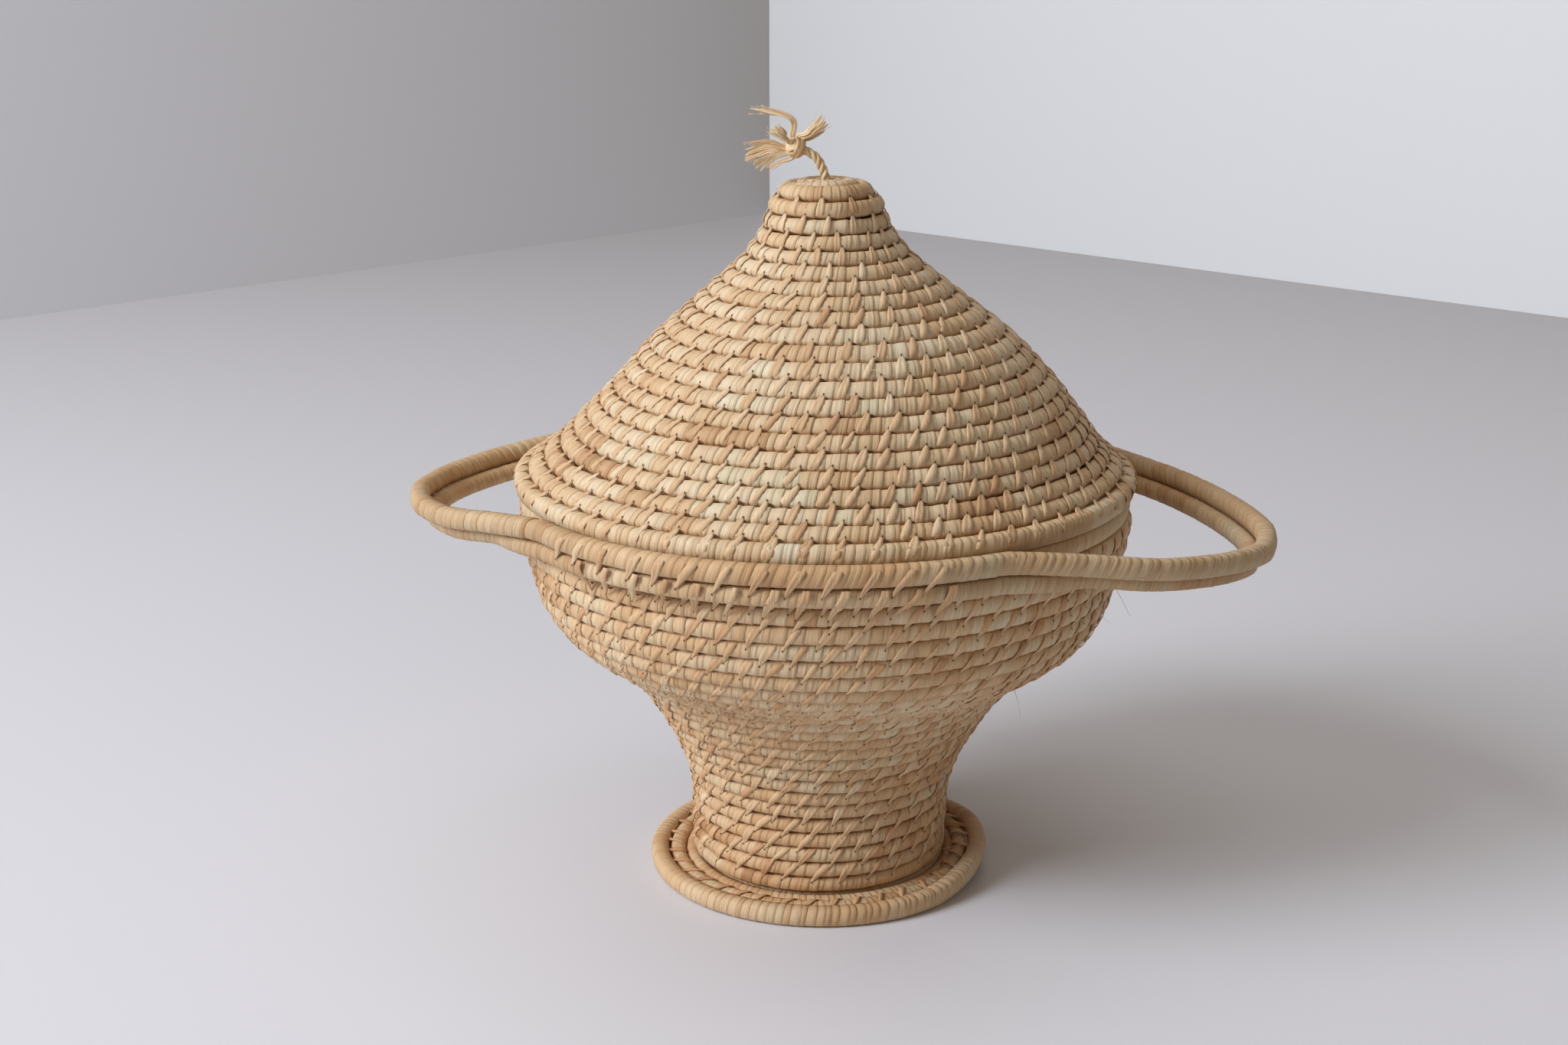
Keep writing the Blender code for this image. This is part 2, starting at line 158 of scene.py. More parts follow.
# Painted shade: what a groove or a strip's edge keeps of red, green and blue
SEAM_SHADE = (0.75, 0.57, 0.43, 1.0)
LEAF_ROUGHNESS = 0.62
LEAF_SPECULAR = 0.35
RIDGE_HEIGHT = 0.0003


def leaf_material(name, stops, tint=(1.0, 1.0, 1.0), patch_strength=0.12):
    """A leaf finish that looks its tone up in the stops, with fibres and with painted shade on edges and
    grooves.
    """
    made, tree, shader = new_material(name, LEAF_ROUGHNESS, LEAF_SPECULAR)
    tone = node(tree, "ShaderNodeAttribute", attribute_name="tone").outputs["Fac"]
    seam = node(tree, "ShaderNodeAttribute", attribute_name="seam").outputs["Fac"]
    place = node(tree, "ShaderNodeTexCoord").outputs["Object"]
    uv = node(tree, "ShaderNodeUVMap", uv_map="strip")
    # Patches move the tone up or down, and the tone picks the colour.
    values = {"Scale": PATCHES_PER_METRE, "Detail": 2.0}
    patches = node(tree, "ShaderNodeTexNoise", {"Vector": place}, values)
    values = dict(zip(RANGE_INPUTS, (*PATCH_NOISE, -patch_strength, patch_strength)))
    nudge = node(tree, "ShaderNodeMapRange", {"Value": patches}, values)
    picked = node(tree, "ShaderNodeMath", {0: tone, 1: nudge}, operation="ADD", use_clamp=True)
    ramp = node(tree, "ShaderNodeValToRGB", {"Fac": picked})
    ramp_stops(ramp, stops, tint)
    # Fibres are noise stretched along the strip, moved on by the tone so that no two strips match.
    shift = node(tree, "ShaderNodeCombineXYZ", {"X": tone})
    grown = node(tree, "ShaderNodeVectorMath", {0: shift}, {1: TONE_SHIFT}, operation="MULTIPLY")
    moved = node(tree, "ShaderNodeVectorMath", {0: uv, 1: grown}, operation="ADD")
    values = {1: (FIBRES_PER_CM, 1 / FIBRE_LENGTH_CM, 1.0)}
    stretched = node(tree, "ShaderNodeVectorMath", {0: moved}, values, operation="MULTIPLY")
    values = {"Scale": 1.0, "Detail": 3.0, "Roughness": 0.6}
    fibres = node(tree, "ShaderNodeTexNoise", {"Vector": stretched}, values, noise_dimensions="2D")
    values = dict(zip(RANGE_INPUTS, FIBRE_NOISE + FIBRE_SHADES))
    streak = node(tree, "ShaderNodeMapRange", {"Value": fibres}, values)
    # Painted shade: grooves and strip edges are darker and browner, as the light that gets there has been
    # through leaf.
    values = {6: (1.0, 1.0, 1.0, 1.0), 7: SEAM_SHADE}
    painted_shade = node(tree, "ShaderNodeMix", {0: seam}, values, data_type="RGBA").outputs[2]
    with_painted_shade = node(tree, "ShaderNodeVectorMath", {0: ramp, 1: painted_shade}, operation="MULTIPLY")
    streaked = node(tree, "ShaderNodeVectorMath", {0: with_painted_shade, "Scale": streak}, operation="SCALE")
    ridges = node(tree, "ShaderNodeBump", {"Height": fibres}, {"Strength": 0.5, "Distance": RIDGE_HEIGHT})
    tree.links.new(streaked.outputs[0], shader.inputs["Base Color"])
    tree.links.new(ridges.outputs[0], shader.inputs["Normal"])
    return made


print(FIBRES_PER_CM, "fibres in a centimetre of strip")

# %% [markdown]
# Wraps range from tan to pale straw. Sewing strips come from the same leaf, but show fewer tones,
# because only good long strips will sew.

# %% Finishes of leaf
STRAW_STOPS = (
    (0.0, "B59069"), (0.15, "C9A67D"), (0.35, "D3B68E"), (0.55, "D9C19D"), (0.75, "DECBAB"),
    (0.88, "D5C8A6"), (1.0, "E1D4B9"),
)
STITCH_STOPS = ((0.0, "C29B73"), (0.35, "D1AF87"), (0.7, "DBBF99"), (1.0, "E1CDAC"))
# The leaf of the bowl, the foot, the rim and the handles is darker and browner than the lid's, the handles
# most.
LEAF_TINTS = {
    "lid": (1.0, 1.0, 1.0),
    "bowl": (1.0, 0.94, 0.88),
    "foot": (0.97, 0.87, 0.78),
    "rim": (0.95, 0.89, 0.83),
    "handle": (0.80, 0.73, 0.66),
}
wrap_leaf = {}
stitch_leaf = {}
for part, tint in LEAF_TINTS.items():
    wrap_leaf[part] = leaf_material(f"wrapped palm leaf strip, {part}", STRAW_STOPS, tint)
    stitch_leaf[part] = leaf_material(f"sewing strip of palm leaf, {part}", STITCH_STOPS, tint)
print(2 * len(LEAF_TINTS), "leaf materials")

# %% [markdown]
# ### Grass inside the wrapping
#
# The bundle of grass shows only as a brown line or hole between two strips. It could be modelled
# stalk by stalk, but a fine mottle of dull browns is all that the eye gets to see of it.

# %% Grass core material
# A stalk is some 2.5 mm thick.
STALKS_PER_METRE = 400.0


def core_material(name, stops):
    """A mottle of two browns, dry and dull."""
    made, tree, shader = new_material(name, roughness=0.9, specular=0.2)
    place = node(tree, "ShaderNodeTexCoord").outputs["Object"]
    values = {"Scale": STALKS_PER_METRE, "Detail": 2.0}
    mottle = node(tree, "ShaderNodeTexNoise", {"Vector": place}, values)
    ramp = node(tree, "ShaderNodeValToRGB", {"Fac": mottle})
    ramp_stops(ramp, stops)
    tree.links.new(ramp.outputs[0], shader.inputs["Base Color"])
    return made


grass_core = core_material("brown grass core", ((0.35, "8A5A34"), (0.65, "A9784A")))
# Painted shade: this darker brown colours the sheets that stand for the shadow in needle holes and open
# grooves.
hole_shade = core_material("painted shade in a needle hole", ((0.35, "553820"), (0.65, "7A5332")))
print(grass_core.name, "and", hole_shade.name)

# %% [markdown]
# ## One turn of wrapping
#
# A wrap is a strip of leaf that goes once round the coil. It is made as a closed band round a
# rounded square, because sewn coils press each other flat where they touch. Its two edges turn in
# towards the core, so that each strip has a crisp side. It is modelled at a half-size of one, and
# each copy is scaled to its own coil. A few different strips keep the rows from looking machined.

# %% Shape of a wrap
SQUARENESS = 2.8
OUTER_ANGLES = (0, 22, 50, 90, 130, 158, 180)
INNER_ANGLES = (218, 270, 322)
# The higher, the thinner the line of painted shade in the groove
GROOVE_POWER = 7
# The UV map is in centimetres: a strip is so wide, and goes round a coil of this radius.
STRIP_WIDTH_CM = 0.3
COIL_RADIUS_CM = 0.45


def rounded(angle):
    """A point on a rounded square of half-size one, as (along the wall, out of the wall)."""
    power = 2 / SQUARENESS
    c, s = math.cos(angle), math.sin(angle)
    return math.copysign(abs(c) ** power, c), math.copysign(abs(s) ** power, s)


def finished(bm, name):
    """An object with the bmesh as its mesh."""
    mesh = bpy.data.meshes.new(name)
    bm.to_mesh(mesh)
    bm.free()
    return bpy.data.objects.new(name, mesh)


def wrap_object(name, profile, lean, groove):
    """A band from its profile: (share of the width, height above the coil) from edge to edge.

    lean moves it along the coil, the more the higher up the coil's face. groove is how dark the
    painted shade is at its top and bottom, in the groove between two rows.
    """
    bm = bmesh.new()
    uv = bm.loops.layers.uv.new("strip")
    seam = bm.verts.layers.float.new("seam")
    angles = [math.radians(a) for a in OUTER_ANGLES + INNER_ANGLES]
    rings = []
    for angle in angles:
        rise, depth = rounded(angle)
        ring = [bm.verts.new((x + lean * rise, rise * (1 + h), depth * (1 + h))) for x, h in profile]
        for vert in ring:
            # Painted shade: darker towards the groove at top and bottom, and along the strip's last edge
            vert[seam] = groove * abs(rise) ** GROOVE_POWER
        ring[-1][seam] = 1.0
        rings.append(ring)
    for i, ring in enumerate(rings):
        following = rings[(i + 1) % len(rings)]
        low = angles[i]
        high = angles[i + 1] if i + 1 < len(angles) else 2 * math.pi
        for j in range(len(profile) - 1):
            face = bm.faces.new((ring[j], following[j], following[j + 1], ring[j + 1]))
            face.smooth = True
            corners = ((j, low), (j, high), (j + 1, high), (j + 1, low))
            for loop, (column, turn) in zip(face.loops, corners):
                loop[uv].uv = (profile[column][0] * STRIP_WIDTH_CM, turn * COIL_RADIUS_CM)
    return finished(bm, name)


print("a wrap has", len(OUTER_ANGLES + INNER_ANGLES), "corners round the coil")

# %% Kinds of wrap
# Each strip climbs from under the one before it to over the one after it.
COVERED = ((-1.15, -0.09), (-0.60, -0.03))
WRAP_PROFILES = (
    (*COVERED, (0.0, 0.0), (0.50, 0.009), (0.56, -0.06)),
    (*COVERED, (0.05, 0.0), (0.50, 0.007), (0.56, -0.06)),
    (*COVERED, (-0.04, 0.0), (0.04, -0.02), (0.12, 0.002), (0.52, 0.008), (0.57, -0.06)),
    (*COVERED, (0.15, 0.002), (0.52, 0.007), (0.58, -0.06)),
)
WRAP_LEANS = (-0.035, 0.0, 0.035, 0.015)


def wrap_collection(name, lean, groove=0.0):
    """The strips of one lean. Each differs a little from the others in that too."""
    shapes = bpy.data.collections.new(name)
    for number, profile in enumerate(WRAP_PROFILES):
        label = f"{name.replace(' ', '_')}_{number}"
        shapes.objects.link(wrap_object(label, profile, lean + WRAP_LEANS[number], groove))
    return shapes


upright_wraps = wrap_collection("upright wrap", lean=0.0)
wall_wraps = wrap_collection("wall wrap", lean=0.20, groove=0.9)
ring_wraps = wrap_collection("ring wrap", lean=0.20)
rim_wraps = wrap_collection("rim wrap", lean=0.36)
plate_wraps = wrap_collection("plate wrap", lean=-0.19, groove=0.9)
print("each coil is wound with", len(WRAP_PROFILES), "different strips")

# %% [markdown]
# ## One stitch
#
# A sewing strip comes up from under a wrap of its own row, lies flat over the row, crosses the
# groove and dives into the neighbouring row through a hole that the needle made. It is modelled
# over two half-sizes of coil: y = -1 is the middle of its own row, y = 0 the groove, and y = 1 the
# middle of the neighbour. Each stitch has a second shape in another colour, a dark sheet of painted
# shade: the shadow in the needle's hole at its tip and in the corner of groove beside it, which the
# pull of the strip keeps open.

# %% Path of a stitch
# (place along the stitch, height over the coil, half-width)
STITCH_PATH = (
    (-1.95, -0.20, 0.40), (-1.78, 0.01, 0.46), (-1.40, 0.022, 0.50), (-1.00, 0.03, 0.50),
    (-0.60, 0.04, 0.46), (-0.28, 0.045, 0.38), (-0.10, 0.0, 0.32), (0.14, 0.0, 0.26),
    (0.38, 0.035, 0.17), (0.54, 0.0, 0.10), (0.62, -0.14, 0.04),
)
# The two points of the path that cross the groove have a height of their own.
BRIDGE = {6: 0.90, 7: 0.87}
TIP = STITCH_PATH[-1][0]
# Where rows lean, the step between them is spread this far to both sides of the groove.
STEP_SPAN = 0.3
CURL_TURN = 1.1
# A stitch squeezes the coils under it, by this share of their half-size, over this width.
PINCH = 0.075
PINCH_WIDTH = 0.0022
STITCH_WIDTH = 0.0046


def coil_height(y):
    """How far a rounded coil's face stands out, where its own middle is at y = -1 or y = 1."""
    across = min(abs(abs(y) - 1), 1)
    return (1 - across**SQUARENESS) ** (1 / SQUARENESS)


def overhang(y, lean):
    """How much lower the neighbour lies, where leaning rows hang over each other."""
    return lean * max(-1.0, min(1.0, y / STEP_SPAN))


def stitch_middle(y, slant, curl):
    """Where the middle of the strip lies along the coil, in stitch widths."""
    return slant * (y + 1) + curl * math.sin((y + 2) * CURL_TURN)


def squeeze(x):
    """How much lower the coil's face lies at x, in stitch widths from the stitch's middle."""
    return PINCH * math.exp(-((x * STITCH_WIDTH / PINCH_WIDTH) ** 2))


print("a stitch reaches from", STITCH_PATH[0][0], "to", TIP, "half-sizes of coil")

# %% [markdown]
# The strip and the painted shade of the hole at its tip are sheets without thickness, because only
# their faces show. The strip's long edges are marked as seams, which the leaf finish darkens with
# painted shade.

# %% Shapes of a stitch and its hole
# The UV map is in centimetres: a stitch is so wide, and a coil has this half-size.
STITCH_WIDTH_CM = 0.45
COIL_HALF_CM = 0.43


def flat_shape(name, rows, seams=False, corner=()):
    """A sheet from rows of points, with its place in the strip as its UV map, and one more face."""
    bm = bmesh.new()
    uv = bm.loops.layers.uv.new("strip")
    seam = bm.verts.layers.float.new("seam")
    made = [[bm.verts.new(point) for point in row] for row in rows]
    for row in made:
        # Painted shade along the long edges, where seams is set
        row[0][seam] = row[-1][seam] = float(seams)
    for row, following in zip(made, made[1:]):
        for j in range(len(row) - 1):
            face = bm.faces.new((row[j], row[j + 1], following[j + 1], following[j]))
            face.smooth = True
            for loop in face.loops:
                loop[uv].uv = (loop.vert.co.x * STITCH_WIDTH_CM, loop.vert.co.y * COIL_HALF_CM)
    if corner:
        bm.faces.new([bm.verts.new(point) for point in corner])
    return finished(bm, name)


def stitch_object(name, slant, creases, width, curl, reach, lean, lift_more):
    """A strip along the stitch's path. creases lists (share of the half-width, height) across it."""
    rows = []
    # lift_more raises all of the strip but its first point, which stays under the wrap.
    for i, (y, lift, half) in enumerate(STITCH_PATH):
        y *= reach if y > 0 else 1
        x = stitch_middle(y, slant, curl)
        height = BRIDGE.get(i, coil_height(y) + lift) - overhang(y, lean) + (lift_more if i else 0)
        rows.append([(x + share * half * width, y, height + crease) for share, crease in creases])
    return flat_shape(name, rows, True)


# The hole's outline: (share of its length past the tip, half-width)
HOLE_OUTLINE = ((-0.25, 0.03), (0.1, 0.09), (0.5, 0.07), (1.0, 0.02))
HOLE_ASIDE = 0.02
HOLE_LIFT = 0.02
HOLE_SQUEEZE = 0.3
# The open corner of groove lies between these two places beside the stitch, at these two heights.
CORNER_NEAR = 0.38
CORNER_FAR = 0.95
CORNER_TOP = 0.74
CORNER_BOTTOM = 0.5


def hole_shade_object(name, slant, width, curl, reach, hole, side, lean):
    """Painted shade of the needle's hole, a drop shape past the tip, and of the open corner of groove on one
    side.
    """
    tip = TIP * reach
    rows = []
    for share, half in HOLE_OUTLINE:
        y = tip + hole * share
        x = stitch_middle(min(y, tip), slant, curl) + HOLE_ASIDE
        height = coil_height(y) + HOLE_LIFT - overhang(y, lean) - HOLE_SQUEEZE * squeeze(x)
        rows.append([(x - half, y, height), (x + half, y, height)])
    near = stitch_middle(0, slant, curl) + side * CORNER_NEAR * width
    far = stitch_middle(0, slant, curl) + side * CORNER_FAR
    corner = [(near, -0.13, CORNER_TOP), (far, 0.0, CORNER_BOTTOM), (near, 0.16, CORNER_TOP)]
    return flat_shape(name, rows, corner=corner[::side])


print("a needle hole is at most", 2 * max(half for _, half in HOLE_OUTLINE), "stitch widths wide")

# %% [markdown]
# Some sewing strips have split in two along their middle, and some are one. Four kinds, each with
# its own width, slant and curl, keep the stitches of a row from looking the same.

# %% Kinds of stitch
# Across the strip: (share of the half-width, height)
TWO_STRANDS = (
    (-1.0, -0.09), (-0.90, 0.0), (-0.35, 0.01), (-0.05, -0.05), (0.25, 0.01), (0.90, 0.0), (1.0, -0.09),
)
ONE_STRAND = ((-1.0, -0.09), (-0.90, 0.0), (0.0, 0.012), (0.90, 0.0), (1.0, -0.09))
# (creases, width, more slant, curl)
STITCH_KINDS = (
    (TWO_STRANDS, 1.0, 0.0, 0.03),
    (ONE_STRAND, 0.8, 0.10, -0.04),
    (TWO_STRANDS, 1.12, -0.08, 0.0),
    (ONE_STRAND, 0.95, 0.05, 0.05),
)


def stitch_collections(name, slant, reach, hole, side, lean=0.0, lift=0.0):
    """The strips of one kind of stitch, and in the same order their gaps, dark sheets of painted shade."""
    strips = bpy.data.collections.new(name)
    gaps = bpy.data.collections.new(name + " gaps")
    for number, (creases, width, more, curl) in enumerate(STITCH_KINDS):
        label = f"{name.replace(' ', '_')}_{number}"
        shape = (width, curl, reach)
        strips.objects.link(stitch_object(label, slant + more, creases, *shape, lean, lift))
        gaps.objects.link(hole_shade_object(label + "_gap", slant + more, *shape, hole, side, lean))
    return strips, gaps


# The bowl's rows lean, so that each hangs over the one below.
CLAPBOARD_TILT = math.radians(12)
# Slant, reach past the groove, length of the hole, side of the open corner, lean and lift
bowl_stitch = stitch_collections("bowl stitch", 0.6, 1.0, 0.18, -1, math.tan(CLAPBOARD_TILT), 0.02)
rim_stitch = stitch_collections("rim stitch", 0.6, 1.0, 0.18, -1, 0.0, 0.05)
lid_stitch = stitch_collections("lid stitch", 0.42, 0.5, 0.2, 1, 0.0, 0.035)
neck_stitch = stitch_collections("neck stitch", 0.1, 0.5, 0.2, 1, 0.0, 0.03)
print("each kind of coil is sewn with", len(STITCH_KINDS), "different stitches")

# %% [markdown]
# ## Winding a coil
#
# A Geometry Nodes tree takes the path of a coil, walks along it one strip at a time and sets a wrap
# there, turned to face out of the wall. The path carries which way is out, and how big the coil is.

# %% Inputs of the trees
STRIP_INPUTS = (
    ("Geometry", "Geometry"), ("Shapes", "Collection"), ("Least turn", "Float"), ("Most turn", "Float"),
    ("Seed", "Int"), ("Strip material", "Material"),
)
COIL_INPUTS = (("Strip spacing", "Float"), ("Core radius", "Float"), ("Core material", "Material"))


def new_tree(name, inputs):
    """A tree with these inputs, each of them (name, kind), and the sockets that give them."""
    tree = bpy.data.node_groups.new(name, "GeometryNodeTree")
    for label, kind in inputs:
        tree.interface.new_socket(label, in_out="INPUT", socket_type="NodeSocket" + kind)
    tree.interface.new_socket("Geometry", in_out="OUTPUT", socket_type="NodeSocketGeometry")
    return tree, node(tree, "NodeGroupInput").outputs


print("a winding tree has", len(STRIP_INPUTS + COIL_INPUTS), "inputs")

# %% [markdown]
# ### Strips on points
#
# Both trees end in the same branch. It sets one of the shapes on each point as an instance, turns it
# to the path and gives it a tone. Modelling the strips one by one would take days, and copies that
# are all alike would look machined, so each gets a little turn, size and tone of its own by chance.

# %% Branch that sets strips on points
RANDOM = "FunctionNodeRandomValue"
READ = "GeometryNodeInputNamedAttribute"
STORE = "GeometryNodeStoreNamedAttribute"
# How much a strip's width, rise and depth vary, and its tone
LEAST_SIZE = (0.95, 0.99, 0.99)
MOST_SIZE = (1.05, 1.01, 1.01)
TONE_SPREAD = 0.13
# The core has a tone that no strip has, and gets its own material by that.
CORE_TONE = -1.0


def set_strips(tree, points, along, inputs):
    """Sets one of the shapes on every point, with its own turn, size and tone."""
    seed = {"Seed": inputs["Seed"]}
    read = {}
    for name, kind in (("outward", "FLOAT_VECTOR"), ("size", "FLOAT_VECTOR"), ("bunch", "FLOAT")):
        read[name] = node(tree, READ, None, {"Name": name}, data_type=kind)
    values = {"Separate Children": True, "Reset Children": True}
    shapes = node(tree, "GeometryNodeCollectionInfo", {"Collection": inputs["Shapes"]}, values)
    links = {"Primary Axis": along, "Secondary Axis": read["outward"]}
    facing = node(tree, "FunctionNodeAxesToRotation", links, primary_axis="X", secondary_axis="Z")
    least = node(tree, "ShaderNodeCombineXYZ", {"Z": inputs["Least turn"]})
    most = node(tree, "ShaderNodeCombineXYZ", {"Z": inputs["Most turn"]})
    turn = node(tree, RANDOM, {"Min": least, "Max": most, **seed}, data_type="FLOAT_VECTOR")
    turned = node(tree, "FunctionNodeEulerToRotation", {0: turn})
    rotation = node(tree, "FunctionNodeRotateRotation", {0: facing, 1: turned}, rotation_space="LOCAL")
    jitter = node(tree, RANDOM, seed, {"Min": LEAST_SIZE, "Max": MOST_SIZE}, data_type="FLOAT_VECTOR")
    scale = node(tree, "ShaderNodeVectorMath", {0: read["size"], 1: jitter}, operation="MULTIPLY")
    chosen = node(tree, RANDOM, seed, {4: 0, 5: len(WRAP_PROFILES) - 1}, data_type="INT").outputs[2]
    links = {"Points": points, "Instance": shapes, "Instance Index": chosen}
    links |= {"Rotation": rotation, "Scale": scale}
    placed = node(tree, "GeometryNodeInstanceOnPoints", links, {"Pick Instance": True})
    own = node(tree, RANDOM, seed, {2: -TONE_SPREAD, 3: TONE_SPREAD}, data_type="FLOAT").outputs[1]
    tone = node(tree, "ShaderNodeMath", {0: read["bunch"], 1: own}, operation="ADD", use_clamp=True)
    links = {"Geometry": placed, "Value": tone}
    return node(tree, STORE, links, {"Name": "tone"}, data_type="FLOAT", domain="INSTANCE")


def end_tree(tree, geometry, inputs):
    """Makes the copies real, and gives all but the core the material of the strips."""
    real = node(tree, "GeometryNodeRealizeInstances", {0: geometry})
    tone = node(tree, READ, None, {"Name": "tone"}, data_type="FLOAT")
    strip = node(tree, "FunctionNodeCompare", {0: tone}, {1: CORE_TONE / 2}, operation="GREATER_THAN")
    links = {"Geometry": real, "Selection": strip, "Material": inputs["Strip material"]}
    node(tree, "NodeGroupOutput", {0: node(tree, "GeometryNodeSetMaterial", links)})


print("strips vary in tone by", TONE_SPREAD)

# %% [markdown]
# ### The two trees
#
# The winding tree walks along a curve in steps of one strip, and sweeps a circle along the same
# curve for the core. The sewing tree needs no curve: its points are the places of the stitches.

# %% Tree that winds strips on a path
CORE_STEP = 0.008
CORE_SIDES = 8
# How far a strip may lie from its even place, as a share of the spacing
SPACING_SPREAD = 0.24


def winding_tree():
    """Strips set along a path, each turned to it, and a core through them."""
    tree, inputs = new_tree("wind strips on a coil", STRIP_INPUTS + COIL_INPUTS)
    spacing = inputs["Strip spacing"]
    path = node(tree, "GeometryNodeMeshToCurve", {"Mesh": inputs["Geometry"]})
    walked = node(tree, "GeometryNodeResampleCurve", {"Curve": path, "Length": spacing}, mode="LENGTH")
    along = node(tree, "GeometryNodeInputTangent")
    values = {2: -SPACING_SPREAD, 3: SPACING_SPREAD}
    share = node(tree, RANDOM, {"Seed": inputs["Seed"]}, values, data_type="FLOAT").outputs[1]
    step = node(tree, "ShaderNodeMath", {0: share, 1: spacing}, operation="MULTIPLY")
    nudge = node(tree, "ShaderNodeVectorMath", {0: along, "Scale": step}, operation="SCALE")
    nudged = node(tree, "GeometryNodeSetPosition", {"Geometry": walked, "Offset": nudge})
    strips = set_strips(tree, nudged, along, inputs)
    radius = {"Radius": inputs["Core radius"]}
    ring = node(tree, "GeometryNodeCurvePrimitiveCircle", radius, {"Resolution": CORE_SIDES})
    coarse = node(tree, "GeometryNodeResampleCurve", {"Curve": path}, {"Length": CORE_STEP}, mode="LENGTH")
    links = {"Curve": coarse, "Profile Curve": ring}
    core = node(tree, "GeometryNodeCurveToMesh", links, {"Fill Caps": True})
    marked = node(tree, STORE, {"Geometry": core}, {"Name": "tone", "Value": CORE_TONE}, data_type="FLOAT")
    links = {"Geometry": marked, "Material": inputs["Core material"]}
    both = node(tree, "GeometryNodeJoinGeometry", {0: strips})
    tree.links.new(node(tree, "GeometryNodeSetMaterial", links).outputs[0], both.inputs[0])
    end_tree(tree, both, inputs)
    return tree


def sewing_tree():
    """A stitch or its gap set on each point."""
    tree, inputs = new_tree("sew stitches at points", STRIP_INPUTS)
    points = node(tree, "GeometryNodeMeshToPoints", {"Mesh": inputs["Geometry"]})
    along = node(tree, READ, None, {"Name": "along"}, data_type="FLOAT_VECTOR")
    end_tree(tree, set_strips(tree, points, along, inputs), inputs)
    return tree


winding = winding_tree()
sewing = sewing_tree()
print(len(winding.nodes), "nodes wind a coil, and", len(sewing.nodes), "sew it")

# %% [markdown]
# A tree runs as a modifier. Its result is kept as a plain mesh, since the export drops instances,
# and the modifier goes.

# %% Helper that runs a tree
def run_tree(tree, name, mesh, settings):
    """Runs a tree on a mesh and returns the object that holds its result as a plain mesh."""
    holder = bpy.data.objects.new(name, mesh)
    scene.collection.objects.link(holder)
    modifier = holder.modifiers.new("nodes", "NODES")
    modifier.node_group = tree
    for item in tree.interface.items_tree:
        if item.in_out == "INPUT" and item.name in settings:
            modifier[item.identifier] = settings[item.name]
    graph = bpy.context.evaluated_depsgraph_get()
    plain = bpy.data.meshes.new_from_object(holder.evaluated_get(graph), depsgraph=graph)
    plain.name = name
    holder.modifiers.clear()
    holder.data = plain
    print(f"{name}: {sum(len(face.vertices) - 2 for face in plain.polygons)} triangles")
    return holder


# %% [markdown]
# ## Paths
#
# A coil's path is a string of points, and each point also says which way is out of the wall and how
# big the coil is there. A hand-made basket isn't quite round and doesn't stand quite straight. The
# function `settle` moves every point of a perfect basket to where it lies in this one, so rows that
# touch still touch.

# %% How the basket stands
# Height, and how far the basket's middle lies to the right there, as the camera sees it
SWAY = (
    (0.008, -0.0022), (0.060, -0.0008), (0.100, 0.0005), (0.120, 0.0022), (0.145, 0.0), (0.205, 0.0),
    (0.224, 0.0030), (0.245, 0.0050), (0.268, 0.0045), (0.295, 0.0018), (0.330, 0.0),
)
# The foot plate's right side has curled up: where the curl starts, its end, and how high it lifts
CURL_START = 0.050
CURL_END = 0.088
# Only the plate curls, and not the pedestal, which stays inside this radius.
CURL_RADIUS = 0.068
PLATE_CURL = 0.0055
PLATE_TOP = 0.0105


def settle(points):
    """Where points of a perfect basket lie in this hand-made one."""
    points = np.array(points, float)
    rightwards = points[:, 0] * math.cos(CAMERA_AZIMUTH) + points[:, 1] * math.sin(CAMERA_AZIMUTH)
    share = np.clip((rightwards - CURL_START) / (CURL_END - CURL_START), 0, 1)
    beyond = np.hypot(points[:, 0], points[:, 1]) > CURL_RADIUS
    curled = (points[:, 2] < PLATE_TOP) & beyond
    heights, shifts = zip(*SWAY)
    shift = np.interp(points[:, 2], heights, shifts)
    points[:, 2] += np.where(curled, PLATE_CURL * share * share * (3 - 2 * share), 0)
    points[:, 0] += shift * math.cos(CAMERA_AZIMUTH)
    points[:, 1] += shift * math.sin(CAMERA_AZIMUTH)
    return points


print("the basket sways by up to", max(shift for _, shift in SWAY), "m")

# %% Helpers for lines
def smooth_line(points, steps=24):
    """Points on a Catmull-Rom curve through the given ones, in any number of dimensions."""
    p = np.array(points, float)
    p = np.vstack([2 * p[0] - p[1], p, 2 * p[-1] - p[-2]])
    t = np.linspace(0, 1, steps, endpoint=False)[:, None]
    found = []
    for a, b, c, d in zip(p, p[1:], p[2:], p[3:]):
        bend = 2 * a - 5 * b + 4 * c - d
        found.append((2 * b + (c - a) * t + bend * t**2 + (3 * b - a - 3 * c + d) * t**3) / 2)
    return np.vstack([*found, p[-2:-1]])


def unit(vectors):
    """The same directions, with a length of one."""
    vectors = np.asarray(vectors, float)
    return vectors / np.linalg.norm(vectors, axis=-1, keepdims=True)


def lengths(line):
    """How far along the line each of its points lies."""
    return np.concatenate([[0], np.cumsum(np.linalg.norm(np.diff(line, axis=0), axis=1))])


def random_tone(rng, middle, spread):
    """A tone from 0 to 1, most often near the middle."""
    return min(max(rng.gauss(middle, spread), 0.0), 1.0)


# How much coil the strips of one bunch of leaf cover, and the middle and spread of their tones
BUNCH_LENGTHS = (0.012, 0.045)
BUNCH_TONES = (0.52, 0.17)


def bunch_tones(points, rng):
    """A tone for each point of a path, the same one as far as a bunch reaches."""
    tones = []
    left = 0.0
    tone = 0.5
    for step in np.diff(lengths(points), prepend=0):
        left -= step
        if left <= 0:
            left = rng.uniform(*BUNCH_LENGTHS)
            tone = random_tone(rng, *BUNCH_TONES)
        tones.append(tone)
    return tones


print("a bunch of leaf covers up to", BUNCH_LENGTHS[1], "m of coil")

